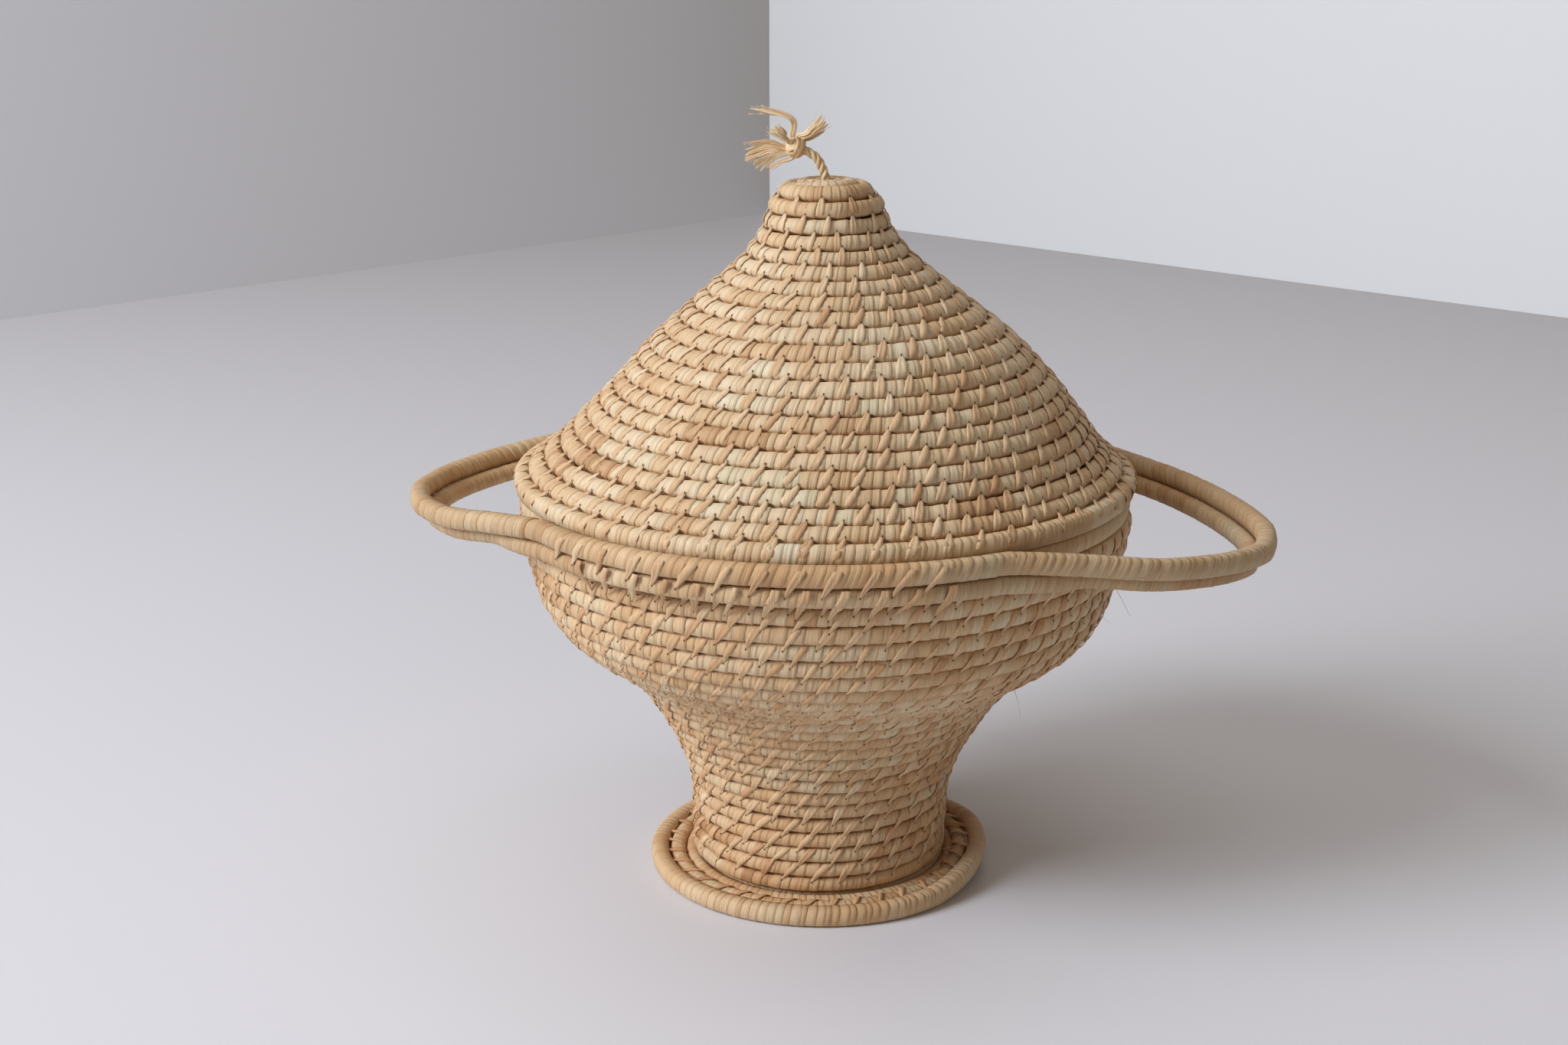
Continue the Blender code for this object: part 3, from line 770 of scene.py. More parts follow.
# %% Meshes for the trees
def set_attributes(mesh, vectors, tones):
    """Gives each point of a mesh what the trees read: its vectors and its tone."""
    for label, data in vectors.items():
        made = mesh.attributes.new(label, "FLOAT_VECTOR", "POINT")
        made.data.foreach_set("vector", np.array(data, float).ravel())
    mesh.attributes.new("bunch", "FLOAT", "POINT").data.foreach_set("value", tones)


def path_mesh(name, strands, spacing, rng):
    """A mesh of bare edges from strands, each of them (points, outward, half-sizes, closed)."""
    co = np.vstack([strand[0] for strand in strands])
    out = np.vstack([strand[1] for strand in strands])
    sizes = np.vstack([np.broadcast_to(strand[2], (len(strand[0]), 2)) for strand in strands])
    sizes = np.column_stack([np.full(len(co), spacing), sizes])
    edges = []
    tones = []
    for points, _, _, closed in strands:
        first = len(tones)
        tones += bunch_tones(points, rng)
        edges += [(i, i + 1) for i in range(first, len(tones) - 1)]
        if closed:
            edges.append((len(tones) - 1, first))
    mesh = bpy.data.meshes.new(name)
    mesh.from_pydata(co.tolist(), edges, [])
    set_attributes(mesh, {"outward": out, "size": sizes}, tones)
    return mesh


print("a path says which way is out, how big the coil is and what tone it has")

# %% [markdown]
# ### Winding and sewing
#
# `wind` runs the winding tree on a path, and `sew` runs the sewing tree on the places of stitches.
# Both then say which body the piece rides on, which solids it stands for and what finish it has.

# %% Helpers that wind and sew
STRIP_SPACING = 0.0034
CORE_RADIUS = 0.0036
# How far a wrap and a stitch may turn from their proper direction, in degrees
TURN_SPREAD = 0.5
STITCH_TURN = 6
STITCH_TONES = (0.5, 0.2)
SLOT_TINTS = {
    "foot_straw": "foot",
    "pedestal_straw": "foot",
    "bowl_straw": "bowl",
    "seat_straw": "bowl",
    "rim_straw": "rim",
    "handle_straw": "handle",
    "lid_edge_straw": "lid",
    "lid_straw": "lid",
    "crown_straw": "lid",
}


def place(piece, body, nodes, slot_name):
    """The piece rides on its body and stands for its solids. slot_name is not used."""
    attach(piece, body)
    if nodes:
        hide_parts(*nodes)


def wind(name, strands, body, nodes, slot_name, seed, coil=(STRIP_SPACING, CORE_RADIUS, wall_wraps)):
    """Winds strips on paths. coil is the spacing of the strips, the core's radius and the shapes."""
    spacing, core, shapes = coil
    settings = {
        "Shapes": shapes,
        "Least turn": math.radians(-TURN_SPREAD),
        "Most turn": math.radians(TURN_SPREAD),
        "Seed": seed,
        "Strip material": wrap_leaf[SLOT_TINTS[slot_name]],
        "Strip spacing": spacing,
        "Core radius": core,
        "Core material": grass_core,
    }
    mesh = path_mesh(name, strands, spacing, random.Random(seed))
    place(run_tree(winding, name, mesh, settings), body, nodes, slot_name)


def sew(name, sites, kind, body, slot_name, seed):
    """Sets a stitch and the painted shade of its gap at each site: (point, direction along the coil, outward,
    size).
    """
    points, along, out, sizes = zip(*sites)
    rng = random.Random(seed)
    tones = [random_tone(rng, *STITCH_TONES) for _ in sites]
    leaf = stitch_leaf[SLOT_TINTS[slot_name]]
    # The gaps are sheets of painted shade in that darker brown.
    for shapes, label, material in ((kind[0], "stitches", leaf), (kind[1], "gaps", hole_shade)):
        mesh = bpy.data.meshes.new(name)
        mesh.from_pydata(np.array(points).tolist(), [], [])
        set_attributes(mesh, {"along": along, "outward": out, "size": sizes}, tones)
        settings = {
            "Shapes": shapes,
            "Least turn": math.radians(-STITCH_TURN),
            "Most turn": math.radians(STITCH_TURN),
            "Seed": seed,
            "Strip material": material,
        }
        place(run_tree(sewing, f"{name}_{label}", mesh, settings), body, (), slot_name)
    print(len(sites), "stitches in", name)


# %% [markdown]
# ## Rows of a wall
#
# A wall's outline is the same as in the frame's solid, which was measured in the photo. Its rows
# lie one coil apart along it, each with its middle half a coil in from the outline. Each row
# wanders a little by itself.

# %% One row
# How far a row wanders out of the wall, and along it
WOBBLE_OUT = 0.00020
WOBBLE_UP = 0.00012
# How many times it does so in one turn
WAVES = (2, 3, 5)


def wander(angles, phases, amount):
    """A slow wave round a ring, out of a few sines."""
    wave = np.zeros_like(angles)
    for turns, phase in zip(WAVES, phases):
        wave += math.sqrt(1 / turns) * np.sin(turns * angles + phase)
    return amount * wave


class Row:
    """One turn of coil in a wall: its middle, which way is out and up there, and its half-sizes.

    outline is the point where it stands out most. pinches are the angles where a stitch pulls it in.
    """

    def __init__(self, outline, up, rise, depth):
        self.out = np.array([up[1], -up[0]])
        self.up = np.array(up)
        self.middle = np.array(outline) - self.out * depth
        self.rise = rise
        self.depth = depth
        self.pinches = []
        # The row's height is its seed, so that it wanders the same whatever else is made.
        rng = random.Random(round(outline[1] * 100000))
        self.phases = [rng.uniform(0, 2 * math.pi) for _ in range(2 * len(WAVES))]

    def middles(self, angles):
        """The coil's middle at each angle, as (radius, height)."""
        outwards = wander(angles, self.phases[: len(WAVES)], WOBBLE_OUT)[:, None]
        upwards = wander(angles, self.phases[len(WAVES) :], WOBBLE_UP)[:, None]
        return self.middle + self.out * outwards + self.up * upwards

    def tilt(self, angle):
        """Leans the row's top in, so that its lower edge hangs over the row below."""
        c, s = math.cos(angle), math.sin(angle)
        self.out, self.up = self.out * c + self.up * s, self.up * c - self.out * s


print("a row wanders out by about", WOBBLE_OUT, "m")

# %% [markdown]
# The rows could be one long spiral, as on the real basket, but closed rings match the solids and
# look the same from outside.

# %% Helpers for rows
def wall_rows(line, pitches, depth, fullness):
    """Rows along an outline of (radius, height) points, with their pitches in proportion.

    fullness is the share of the space between two grooves that a coil fills.
    """
    travelled = lengths(line)
    edges = np.concatenate([[0], np.cumsum(pitches)]) * travelled[-1] / pitches.sum()
    slopes = unit(np.gradient(line, axis=0))
    rows = []
    for low, high in zip(edges, edges[1:]):
        at = (low + high) / 2
        middle = np.array([np.interp(at, travelled, line[:, i]) for i in (0, 1)])
        up = unit([np.interp(at, travelled, slopes[:, i]) for i in (0, 1)])
        rows.append(Row(middle, up, (high - low) / 2 * fullness, depth))
    return rows


def swept(angles, radius_height):
    """Turns (radius, height) pairs round the axis by the angles, as points or as directions."""
    pairs = np.broadcast_to(radius_height, (len(angles), 2))
    return np.stack([pairs[:, 0] * np.cos(angles), pairs[:, 0] * np.sin(angles), pairs[:, 1]], 1)


RING_STEP = 0.0015
# How much a coil bulges between its stitches, as a share of its half-size
BULGE = 0.01


def ring_strand(row):
    """The path of a row's coil, all the way round."""
    count = int(2 * math.pi * row.middle[0] / RING_STEP)
    angles = np.linspace(0, 2 * math.pi, count, endpoint=False)
    middles = row.middles(angles)
    points = settle(swept(angles, middles))
    # The basket's sway draws its rows apart on one side, and they are wound fuller there.
    top = settle(swept(angles, middles + row.up * row.rise))
    bottom = settle(swept(angles, middles - row.up * row.rise))
    sizes = np.column_stack([np.linalg.norm(top - bottom, axis=1) / 2, np.full(count, row.depth)])
    if row.pinches:
        gaps = angles[:, None] - np.array(row.pinches)[None, :]
        gaps = np.abs((gaps + math.pi) % (2 * math.pi) - math.pi).min(axis=1) * row.middle[0]
        sizes *= (1 + BULGE - PINCH * np.exp(-((gaps / PINCH_WIDTH) ** 2)))[:, None]
    return points, swept(angles, row.out), sizes, True


print("a ring's path has a point every", RING_STEP, "m")

# %% [markdown]
# ### Where the stitches go
#
# There is a stitch every 15 mm or so in each groove. The stitches of the next groove lie a little to
# one side of them, so they line up on a slant. Each one pinches the two rows that it holds.

# %% Helpers that place stitches
STITCH_SPACING = 0.0146
# The spacing may shrink or grow to these shares before a groove gets fewer or more stitches.
LEAST_SPACING = 0.84
MOST_SPACING = 1.2
# How far the stitches of one groove lie to the left of the last one's: on the lid, and on the bowl
SLANT_SHIFT = 0.0035
BRICK_SHIFT = 0.0085
# How much that varies from groove to groove, and each stitch's place and width
SHIFT_SPREAD = 0.0016
PLACE_SPREAD = 0.0010
WIDTH_SPREAD = (0.85, 1.12)


def stitch_sites(rows, upwards, rng, spacing=STITCH_SPACING, shift=SLANT_SHIFT, width=STITCH_WIDTH):
    """Sites in the grooves between rows that follow each other up a wall. They squeeze both rows."""
    sites = []
    count = None
    start = rng.uniform(0, 1)
    pairs = list(zip(rows, rows[1:]))
    if not upwards:
        pairs = [(high, low) for low, high in reversed(pairs)]
    for own, neighbour in pairs:
        radius = (own.middle[0] + neighbour.middle[0]) / 2
        out = unit(own.out + neighbour.out)
        round_it = 2 * math.pi * radius
        if count is None or not LEAST_SPACING < round_it / count / spacing < MOST_SPACING:
            count = round(round_it / spacing)
        start -= rng.gauss(shift, SHIFT_SPREAD) / radius
        for i in range(count):
            angle = start + 2 * math.pi * i / count + rng.gauss(0, PLACE_SPREAD) / radius
            angles = np.array([angle])
            here = settle(swept(angles, own.middles(angles)))[0]
            there = settle(swept(angles, neighbour.middles(angles)))[0]
            ahead = np.array([-math.sin(angle), math.cos(angle), 0.0])
            along = ahead if upwards else -ahead
            rise = float(np.linalg.norm(here - there)) / 2
            size = (width * rng.uniform(*WIDTH_SPREAD), rise, own.depth)
            sites.append(((here + there) / 2, along, swept(angles, out)[0], size))
            own.pinches.append(angle)
            neighbour.pinches.append(angle)
    return sites


def sewn_pair(low, high):
    """Rows for the stitches between two coils, each of them (radius, height, half-size).

    They lean with the line that touches both coils on the outside, so that a strip lies on both.
    """
    apart = np.array(high[:2]) - np.array(low[:2])
    turn = math.atan2(apart[1], apart[0]) - math.asin((high[2] - low[2]) / np.linalg.norm(apart))
    up = (math.cos(turn), math.sin(turn))
    pair = []
    for radius, height, half in (low, high):
        outline = (radius + half * up[1], height - half * up[0])
        pair.append(Row(outline, up, half, (low[2] + high[2]) / 2))
    return pair


print("a stitch every", STITCH_SPACING, "m")

# %% [markdown]
# ## The pedestal and the bowl
#
# They are one wall of one coil, from the foot plate to the rim. The rows at the foot are thinner
# than those of the bowl. The outline is a smooth line through a few points, given as shares of the
# solids' boxes, so that it follows the solids when they change.

# %% Outline of pedestal and bowl
PEDESTAL_FOOT_RADIUS = 0.0633
FOOT_PITCH = 0.0074
BOWL_PITCH = 0.0091
STRAND_DEPTH = 0.0042
# (share of the height, share of the way from the least to the greatest radius)
PEDESTAL_OUTLINE = (
    (0.0, 0.0), (0.24, 0.0), (0.41, 0.03), (0.54, 0.155), (0.665, 0.312), (0.775, 0.505),
    (0.875, 0.706), (1.0, 1.0),
)
BOWL_OUTLINE = (
    (0.12, 0.188), (0.212, 0.406), (0.327, 0.636), (0.476, 0.797), (0.648, 0.888), (0.831, 0.957),
    (1.0, 1.0),
)


def outline(shares, low, high, least, greatest):
    """(radius, height) points between the least and greatest radius and between two heights."""
    return [(least + (greatest - least) * across, low + (high - low) * up) for up, across in shares]


pedestal_low, pedestal_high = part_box("pedestal_wall")
bowl_low, bowl_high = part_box("bowl_wall")
floor_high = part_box("bowl_floor")[1]
wall = outline(PEDESTAL_OUTLINE, pedestal_low[2], pedestal_high[2], PEDESTAL_FOOT_RADIUS, floor_high[0])
wall += outline(BOWL_OUTLINE, bowl_low[2], bowl_high[2], floor_high[0], bowl_high[0])
wall = smooth_line(wall)

wall_row_count = round(lengths(wall)[-1] * 2 / (FOOT_PITCH + BOWL_PITCH))
pitches = np.linspace(FOOT_PITCH, BOWL_PITCH, wall_row_count)
rows = wall_rows(wall, pitches, STRAND_DEPTH, fullness=1.0)
pedestal_rows = [row for row in rows if row.middle[1] < pedestal_high[2]]
bowl_rows = rows[len(pedestal_rows) :]
print(len(pedestal_rows), "rows in the pedestal and", len(bowl_rows), "in the bowl")

# %% Wind the pedestal and the bowl
rng = random.Random(11)
for row in rows:
    row.tilt(CLAPBOARD_TILT)
sites = stitch_sites(rows, False, rng, shift=BRICK_SHIFT)
sew("wall", sites, bowl_stitch, "basket", "bowl_straw", 4)
strands = [ring_strand(row) for row in rows]
split = len(pedestal_rows)
middle = split + len(bowl_rows) // 2
wind("pedestal_rows", strands[:split], "basket", ["pedestal_wall"], "pedestal_straw", 1)
wind("bowl_rows_lower", strands[split:middle], "basket", ["bowl_wall"], "bowl_straw", 2)
wind("bowl_rows_upper", strands[middle:], "basket", ["bowl_wall"], "bowl_straw", 3)

# %% [markdown]
# ### Single rings
#
# The foot plate's edge, the row under the lid and the lid's edge are coils by themselves. They are
# rounder than the rows of a wall, and their strips are a little wider.

# %% Wind the single rings
RING_SPACING = 0.0038
# The core's radius, as a share of the coil's
CORE_SHARE = 0.84


def coil_ring(name, node_name, body, slot_name, seed):
    """A coil for a ring-shaped solid, from its box."""
    low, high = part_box(node_name)
    half = (high[2] - low[2]) / 2
    row = Row((high[0], low[2] + half), (0.0, 1.0), half, half)
    coil = (RING_SPACING, half * CORE_SHARE, ring_wraps)
    wind(name, [ring_strand(row)], body, [node_name], slot_name, seed, coil)
    return row


plate_row = coil_ring("foot_plate_edge", "foot_plate_edge_coil", "basket", "foot_straw", 5)
coil_ring("seat_row", "bowl_seat_row", "basket", "seat_straw", 6)
lid_edge_row = coil_ring("lid_edge", "lid_edge_coil", "lid", "lid_edge_straw", 7)

# %% [markdown]
# ## The lid
#
# The lid is the same kind of wall. Its sewing strips lie flatter and go up into the row above, and
# near the neck they stand upright.

# %% Outline of the lid
LID_FOOT = (0.1424, 0.2070)
LID_ROWS = 20
LID_ROWS_TOP = 0.3328
# The last rows are wound thinner, to go round the narrow neck.
NECK_ROWS = 4
NECK_PITCH = 0.86
NECK_RADIUS = 0.0263
# The rows are a little thicker half way up the lid: by which share, at which row, over how many.
BELLY = 0.16
BELLY_ROW = 10
BELLY_ROWS = 2.2
LID_STRAND_DEPTH = 0.0044
LID_FULLNESS = 1.05
# The stitches from this row up stand upright, and are closer and narrower.
FIRST_UPRIGHT = 15
NECK_STITCH_SPACING = 0.0112
NECK_STITCH_WIDTH = 0.0035
# Rows in the lower of the lid's two pieces
LOWER_ROWS = 8
LID_OUTLINE = (
    (0.0, 1.0), (0.088, 0.888), (0.191, 0.793), (0.458, 0.536), (0.654, 0.287), (0.791, 0.118),
    (0.901, 0.033), (1.0, 0.0),
)
lid_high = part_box("lid_wall")[1]
lid_line = smooth_line(outline(LID_OUTLINE, LID_FOOT[1], lid_high[2], NECK_RADIUS, LID_FOOT[0]))
lid_line[-1, 1] = LID_ROWS_TOP
pitches = 1 + BELLY * np.exp(-(((np.arange(LID_ROWS) - BELLY_ROW) / BELLY_ROWS) ** 2))
pitches[-NECK_ROWS:] *= NECK_PITCH
lid_rows = wall_rows(lid_line, pitches, LID_STRAND_DEPTH, LID_FULLNESS)
print(len(lid_rows), "rows in the lid")

# %% [markdown]
# The stitches come first, because each pulls the rows in where it sits, and the rows are then wound
# with those waists.

# %% Sew and wind the lid
# The edge coil again, leaning with the lid, for the stitches that hold it
edge_coil = (*lid_edge_row.middle, lid_edge_row.rise)
first_coil = (*lid_rows[0].middle, lid_rows[0].depth)
edge_row = sewn_pair(edge_coil, first_coil)[0]
edge_row.phases = lid_edge_row.phases
# The crown's outer turn, for the same
crown_row = Row(outline=(0.0207, 0.3373), up=(-0.731, 0.682), rise=0.0040, depth=0.0037)
leaning_sites = stitch_sites([edge_row, *lid_rows[: FIRST_UPRIGHT + 1]], True, rng)
neck_rows = [*lid_rows[FIRST_UPRIGHT:], crown_row]
upright_sites = stitch_sites(neck_rows, True, rng, NECK_STITCH_SPACING, width=NECK_STITCH_WIDTH)
sew("lid_lower", leaning_sites, lid_stitch, "lid", "lid_straw", 10)
sew("lid_upper", upright_sites, neck_stitch, "lid", "lid_straw", 12)

strands = [ring_strand(row) for row in lid_rows]
wind("lid_rows_lower", strands[:LOWER_ROWS], "lid", ["lid_wall"], "lid_straw", 8)
wind("lid_rows_upper", strands[LOWER_ROWS:], "lid", ["lid_wall"], "lid_straw", 9)

# %% [markdown]
# ## The crown
#
# The lid's last turns close its neck. They are wound thinner and thinner, round the hole that the
# topknot comes out of. Rings would do for a wall, but here one turn can be seen to run into the
# next, so the crown is one open path through a few points.

# %% Wind the crown
# Turns from the outside in: (turn, radius, height, half-size across, half-size up and down, lean)
CROWN_TURNS = (
    (0.0, 0.0183, 0.3345, 0.0040, 0.0037, 45),
    (0.5, 0.0182, 0.3346, 0.0040, 0.0037, 47),
    (0.98, 0.0179, 0.3348, 0.0039, 0.0036, 50),
    (1.16, 0.0116, 0.3366, 0.0036, 0.0034, 74),
    (1.55, 0.0111, 0.3368, 0.0035, 0.0034, 80),
    (1.95, 0.0106, 0.3369, 0.0033, 0.0032, 85),
    (2.13, 0.0062, 0.3375, 0.0026, 0.0027, 90),
    (2.55, 0.0056, 0.3376, 0.0023, 0.0026, 90),
    (2.98, 0.0050, 0.3375, 0.0019, 0.0023, 90),
)
CROWN_START = math.radians(200)
# The strips are narrow here: their spacing, the core's radius and their shapes
CROWN_COIL = (0.0030, 0.0022, upright_wraps)
crown = smooth_line(CROWN_TURNS, 30)
angles = crown[:, 0] * 2 * math.pi + CROWN_START
lean = np.radians(crown[:, 5])
points = settle(swept(angles, crown[:, 1:3]))
outward = swept(angles, np.stack([np.cos(lean), np.sin(lean)], 1))
strand = (points, outward, crown[:, 3:5], False)
wind("crown", [strand], "lid", ["lid_crown"], "crown_straw", 13, CROWN_COIL)

# %% [markdown]
# ## The rim and the handles
#
# A thicker coil runs round the bowl's mouth and leaves it twice, for the handles. A thinner one is
# sewn under it all the way. Half of a handle is laid out through a few points and mirrored. The thin
# coil's path is worked out from the thick one's, so that the two touch all along.

# %% Paths of the rim and the handles
JOIN_ANGLE = math.radians(60)
LEAVE_ANGLE = math.radians(47)
# A handle's path is drawn from this far before its join and cut there, so that it follows the rim.
LEAD_IN = math.radians(7.5)
# How far the thin coil lies inwards of the thick one on a handle, and over which share of the way
UNDER_INWARD = 0.0066
INWARD_SHARE = 0.3
# Past where a loop leaves the rim: (share of the way out, share of the spread)
LOOP_OUTLINE = ((0.298, 0.849), (0.596, 0.687), (0.827, 0.452), (0.97, 0.2))
# Points on a rim coil, and on each stretch of a handle's outline
RIM_POINTS = 30
HANDLE_STEPS = 10
# (side, how far it reaches out, how far its end hangs down). The left handle is the smaller one.
HANDLES = {"right": (1, 0.0577, 0.0150), "left": (-1, 0.0517, 0.0125)}

rim_low, rim_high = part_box("rim_coil_front")
rim_half = (rim_high[2] - rim_low[2]) / 2
rim_z = rim_low[2] + rim_half
rim_radius = -rim_low[1] - rim_half
# The wrapping pulls the coil in a little, so that its face shows slimmer than the solid's.
SLIMMER = 0.94
rim_half *= SLIMMER
under_low, under_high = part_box("under_rim_coil_front")
under_half = (under_high[2] - under_low[2]) / 2
under_z = under_low[2] + under_half
# The under coil is pulled in a little against the bowl.
PULLED_IN = 0.002
under_radius = -under_low[1] - under_half - PULLED_IN
coil_reach = math.hypot(under_radius - rim_radius, rim_z - under_z)
print("the rim coil has a radius of", round(rim_radius, 4), "m, and the one under it", round(under_radius, 4))

# %% Helpers for the rim and the handles
def flat_out(points):
    """Which way is out at each point of a level path that runs counterclockwise."""
    along = np.gradient(points, axis=0)
    return unit(np.stack([along[:, 1], -along[:, 0], np.zeros(len(points))], 1))


def rim_strand(radius, z, half, middle):
    """The rim's coil on one side of the basket, from handle to handle."""
    spread = math.pi / 2 - JOIN_ANGLE
    angles = np.linspace(middle - spread, middle + spread, RIM_POINTS)
    points = swept(angles, (radius, z))
    return points, swept(angles, (1.0, 0.0)), (half, half), False


def handle_points(side, reach, droop):
    """A handle's upper coil: along the rim, round the loop and back to the rim."""
    on_rim = [JOIN_ANGLE + LEAD_IN, JOIN_ANGLE, LEAVE_ANGLE]
    leg = [(rim_radius * math.cos(a), rim_radius * math.sin(a)) for a in on_rim]
    leave_x, leave_y = leg[-1]
    tip = rim_radius + reach
    leg += [(leave_x + (tip - leave_x) * along, leave_y * across) for along, across in LOOP_OUTLINE]
    plan = [(x, -y) for x, y in leg] + [(tip, 0)] + [(x, y) for x, y in reversed(leg)]
    curve = smooth_line(plan, HANDLE_STEPS)[HANDLE_STEPS:-HANDLE_STEPS]
    away = np.linalg.norm(curve, axis=1)
    curve *= np.maximum(rim_radius / away, 1)[:, None]
    z = rim_z - droop * np.maximum(away - rim_radius, 0) / reach
    return np.column_stack([side * curve, z])


def under_points(points, reach):
    """A handle's lower coil, which touches the upper one and moves inwards on the loop."""
    at_rim = rim_radius - under_radius
    out = np.maximum(np.linalg.norm(points[:, :2], axis=1) - rim_radius, 0) / reach
    share = np.minimum(out / INWARD_SHARE, 1)
    share = share * share * (3 - 2 * share)
    sideways = at_rim + (UNDER_INWARD - at_rim) * share
    drop = np.sqrt(coil_reach**2 - sideways**2)
    found = points - flat_out(points) * sideways[:, None]
    found[:, 2] -= drop
    return found


# %% Wind the rim and the handles
# (spacing of the strips, radius of the core, their shapes)
THICK_COIL = (0.0048, 0.0043, rim_wraps)
THIN_COIL = (RING_SPACING, 0.0035, ring_wraps)


def wind_bar(name, node_name, strand, slot_name, seed, coil):
    """Winds a coil that stands for one solid of the basket."""
    wind(name, [strand], "basket", [node_name], slot_name, seed, coil)


for number, (side, middle) in enumerate((("front", -math.pi / 2), ("back", math.pi / 2))):
    strand = rim_strand(rim_radius, rim_z, rim_half, middle)
    wind_bar(f"rim_{side}", f"rim_coil_{side}", strand, "rim_straw", 20 + number, THICK_COIL)
    strand = rim_strand(under_radius, under_z, under_half, middle)
    wind_bar(f"under_rim_{side}", f"under_rim_coil_{side}", strand, "rim_straw", 24 + number, THIN_COIL)

for number, (side, (way, reach, droop)) in enumerate(HANDLES.items()):
    handle = f"handle_{side}_"
    points = handle_points(way, reach, droop)
    strand = (points, flat_out(points), (rim_half, rim_half), False)
    wind_bar(handle + "upper", handle + "upper_coil", strand, "handle_straw", 28 + number, THICK_COIL)
    points = under_points(points, reach)
    strand = (points, flat_out(points), (under_half, under_half), False)
    wind_bar(handle + "lower", handle + "lower_coil", strand, "handle_straw", 32 + number, THIN_COIL)


# %% [markdown]
# ### Sewing the rim
#
# The rim's coil and the one under it are not a wall, so two rows are made up for each pair of coils,
# only to place the stitches that hold them.

# %% Sew the rim to the bowl
# The rim coil's strips dip over the under coil, and the under coil's over the bowl's second row.
SECOND_ROW_BELOW = 0.0112
CLEAR_OF_HANDLES = math.radians(6)
below = min(bowl_rows, key=lambda row: abs(row.middle[1] - (under_z - SECOND_ROW_BELOW)))
bowl_coil = (*below.middle, below.depth)
under_coil = (under_radius, under_z, under_half)
rim_coil = (rim_radius, rim_z, rim_half)
sites = stitch_sites(sewn_pair(bowl_coil, under_coil), False, rng, width=0.0042)
sites += stitch_sites(sewn_pair(under_coil, rim_coil), False, rng)
# No stitches where the handles leave
steepest = math.tan(math.pi / 2 - JOIN_ANGLE + CLEAR_OF_HANDLES)
sites = [site for site in sites if abs(site[0][0]) < abs(site[0][1]) * steepest]
sew("rim", sites, rim_stitch, "basket", "rim_straw", 36)

# %% [markdown]
# ## The foot plate and the bowl's floor
#
# Both are flat spirals. Only the last turns of the foot plate show, outside the pedestal. Its right
# side has curled up from the table a little. A spiral is one short formula, so it is drawn whole.

# %% Wind the flat spirals
SPIRAL_START = 0.004
POINTS_PER_TURN = 120
SPIRAL_FULLNESS = 1.02
PLATE_PITCH = 0.0073
FLOOR_PITCH = 0.0085
PLATE_COIL = (STRIP_SPACING, 0.0030, plate_wraps)
FLOOR_COIL = (STRIP_SPACING, 0.0034, plate_wraps)


def spiral_strand(outer, z, pitch, depth):
    """A flat spiral coil that faces up."""
    turns = (outer - SPIRAL_START) / pitch + 1
    angles = np.linspace(0, turns * 2 * math.pi, int(turns * POINTS_PER_TURN))
    radius = SPIRAL_START + pitch * (angles / (2 * math.pi) - 0.5)
    # The first bend is no tighter than a coil, and the last turn is a full ring.
    radius = np.clip(radius, pitch / 2, outer - pitch / 2)
    points = settle(swept(angles, np.column_stack([radius, np.full(len(angles), z)])))
    return points, swept(angles, (0.0, 1.0)), (pitch / 2 * SPIRAL_FULLNESS, depth), False


low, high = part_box("foot_plate")
half = (high[2] - low[2]) / 2
strand = spiral_strand(high[0], low[2] + half, PLATE_PITCH, half)
wind_bar("foot_plate", "foot_plate", strand, "foot_straw", 40, PLATE_COIL)
# The stitches that hold the edge coil are small and close.
inner_row = Row((high[0] - PLATE_PITCH / 2, high[2]), (-1.0, 0.0), PLATE_PITCH / 2, half)
outer_row = Row((plate_row.middle[0], plate_row.middle[1] + half), (-1.0, 0.0), plate_row.rise, half)
sites = stitch_sites([inner_row, outer_row], False, rng, spacing=0.0125, width=0.0034)
sew("plate", sites, rim_stitch, "basket", "foot_straw", 42)

low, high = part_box("bowl_floor")
half = (high[2] - low[2]) / 2
strand = spiral_strand(high[0], low[2] + half, FLOOR_PITCH, half)
wind_bar("bowl_floor", "bowl_floor", strand, "bowl_straw", 41, FLOOR_COIL)

# %% [markdown]
# ## The topknot
#
# Three bundles of leaf strip are twisted into a short stiff stalk. It comes up through the hole in
# the crown, ends in a knot, and splits into a tassel of flat strips whose tips have frayed. Inside
# the lid a second knot keeps it from pulling out. All of these are strips laid along lines, so one
# function lays an oval strip along any line, and the lines say the rest.

# %% Helper that lays strips
STRIP_SIDES = 8
# The strips' UV map is in centimetres.
CM_PER_METRE = 100
KNOT_STOPS = ((0.0, "CBA074"), (0.35, "DAB78B"), (0.7, "E6CDA3"), (1.0, "EDDCBB"))
tassel_leaf = leaf_material("frayed palm leaf of the tassel", KNOT_STOPS, patch_strength=0.05)


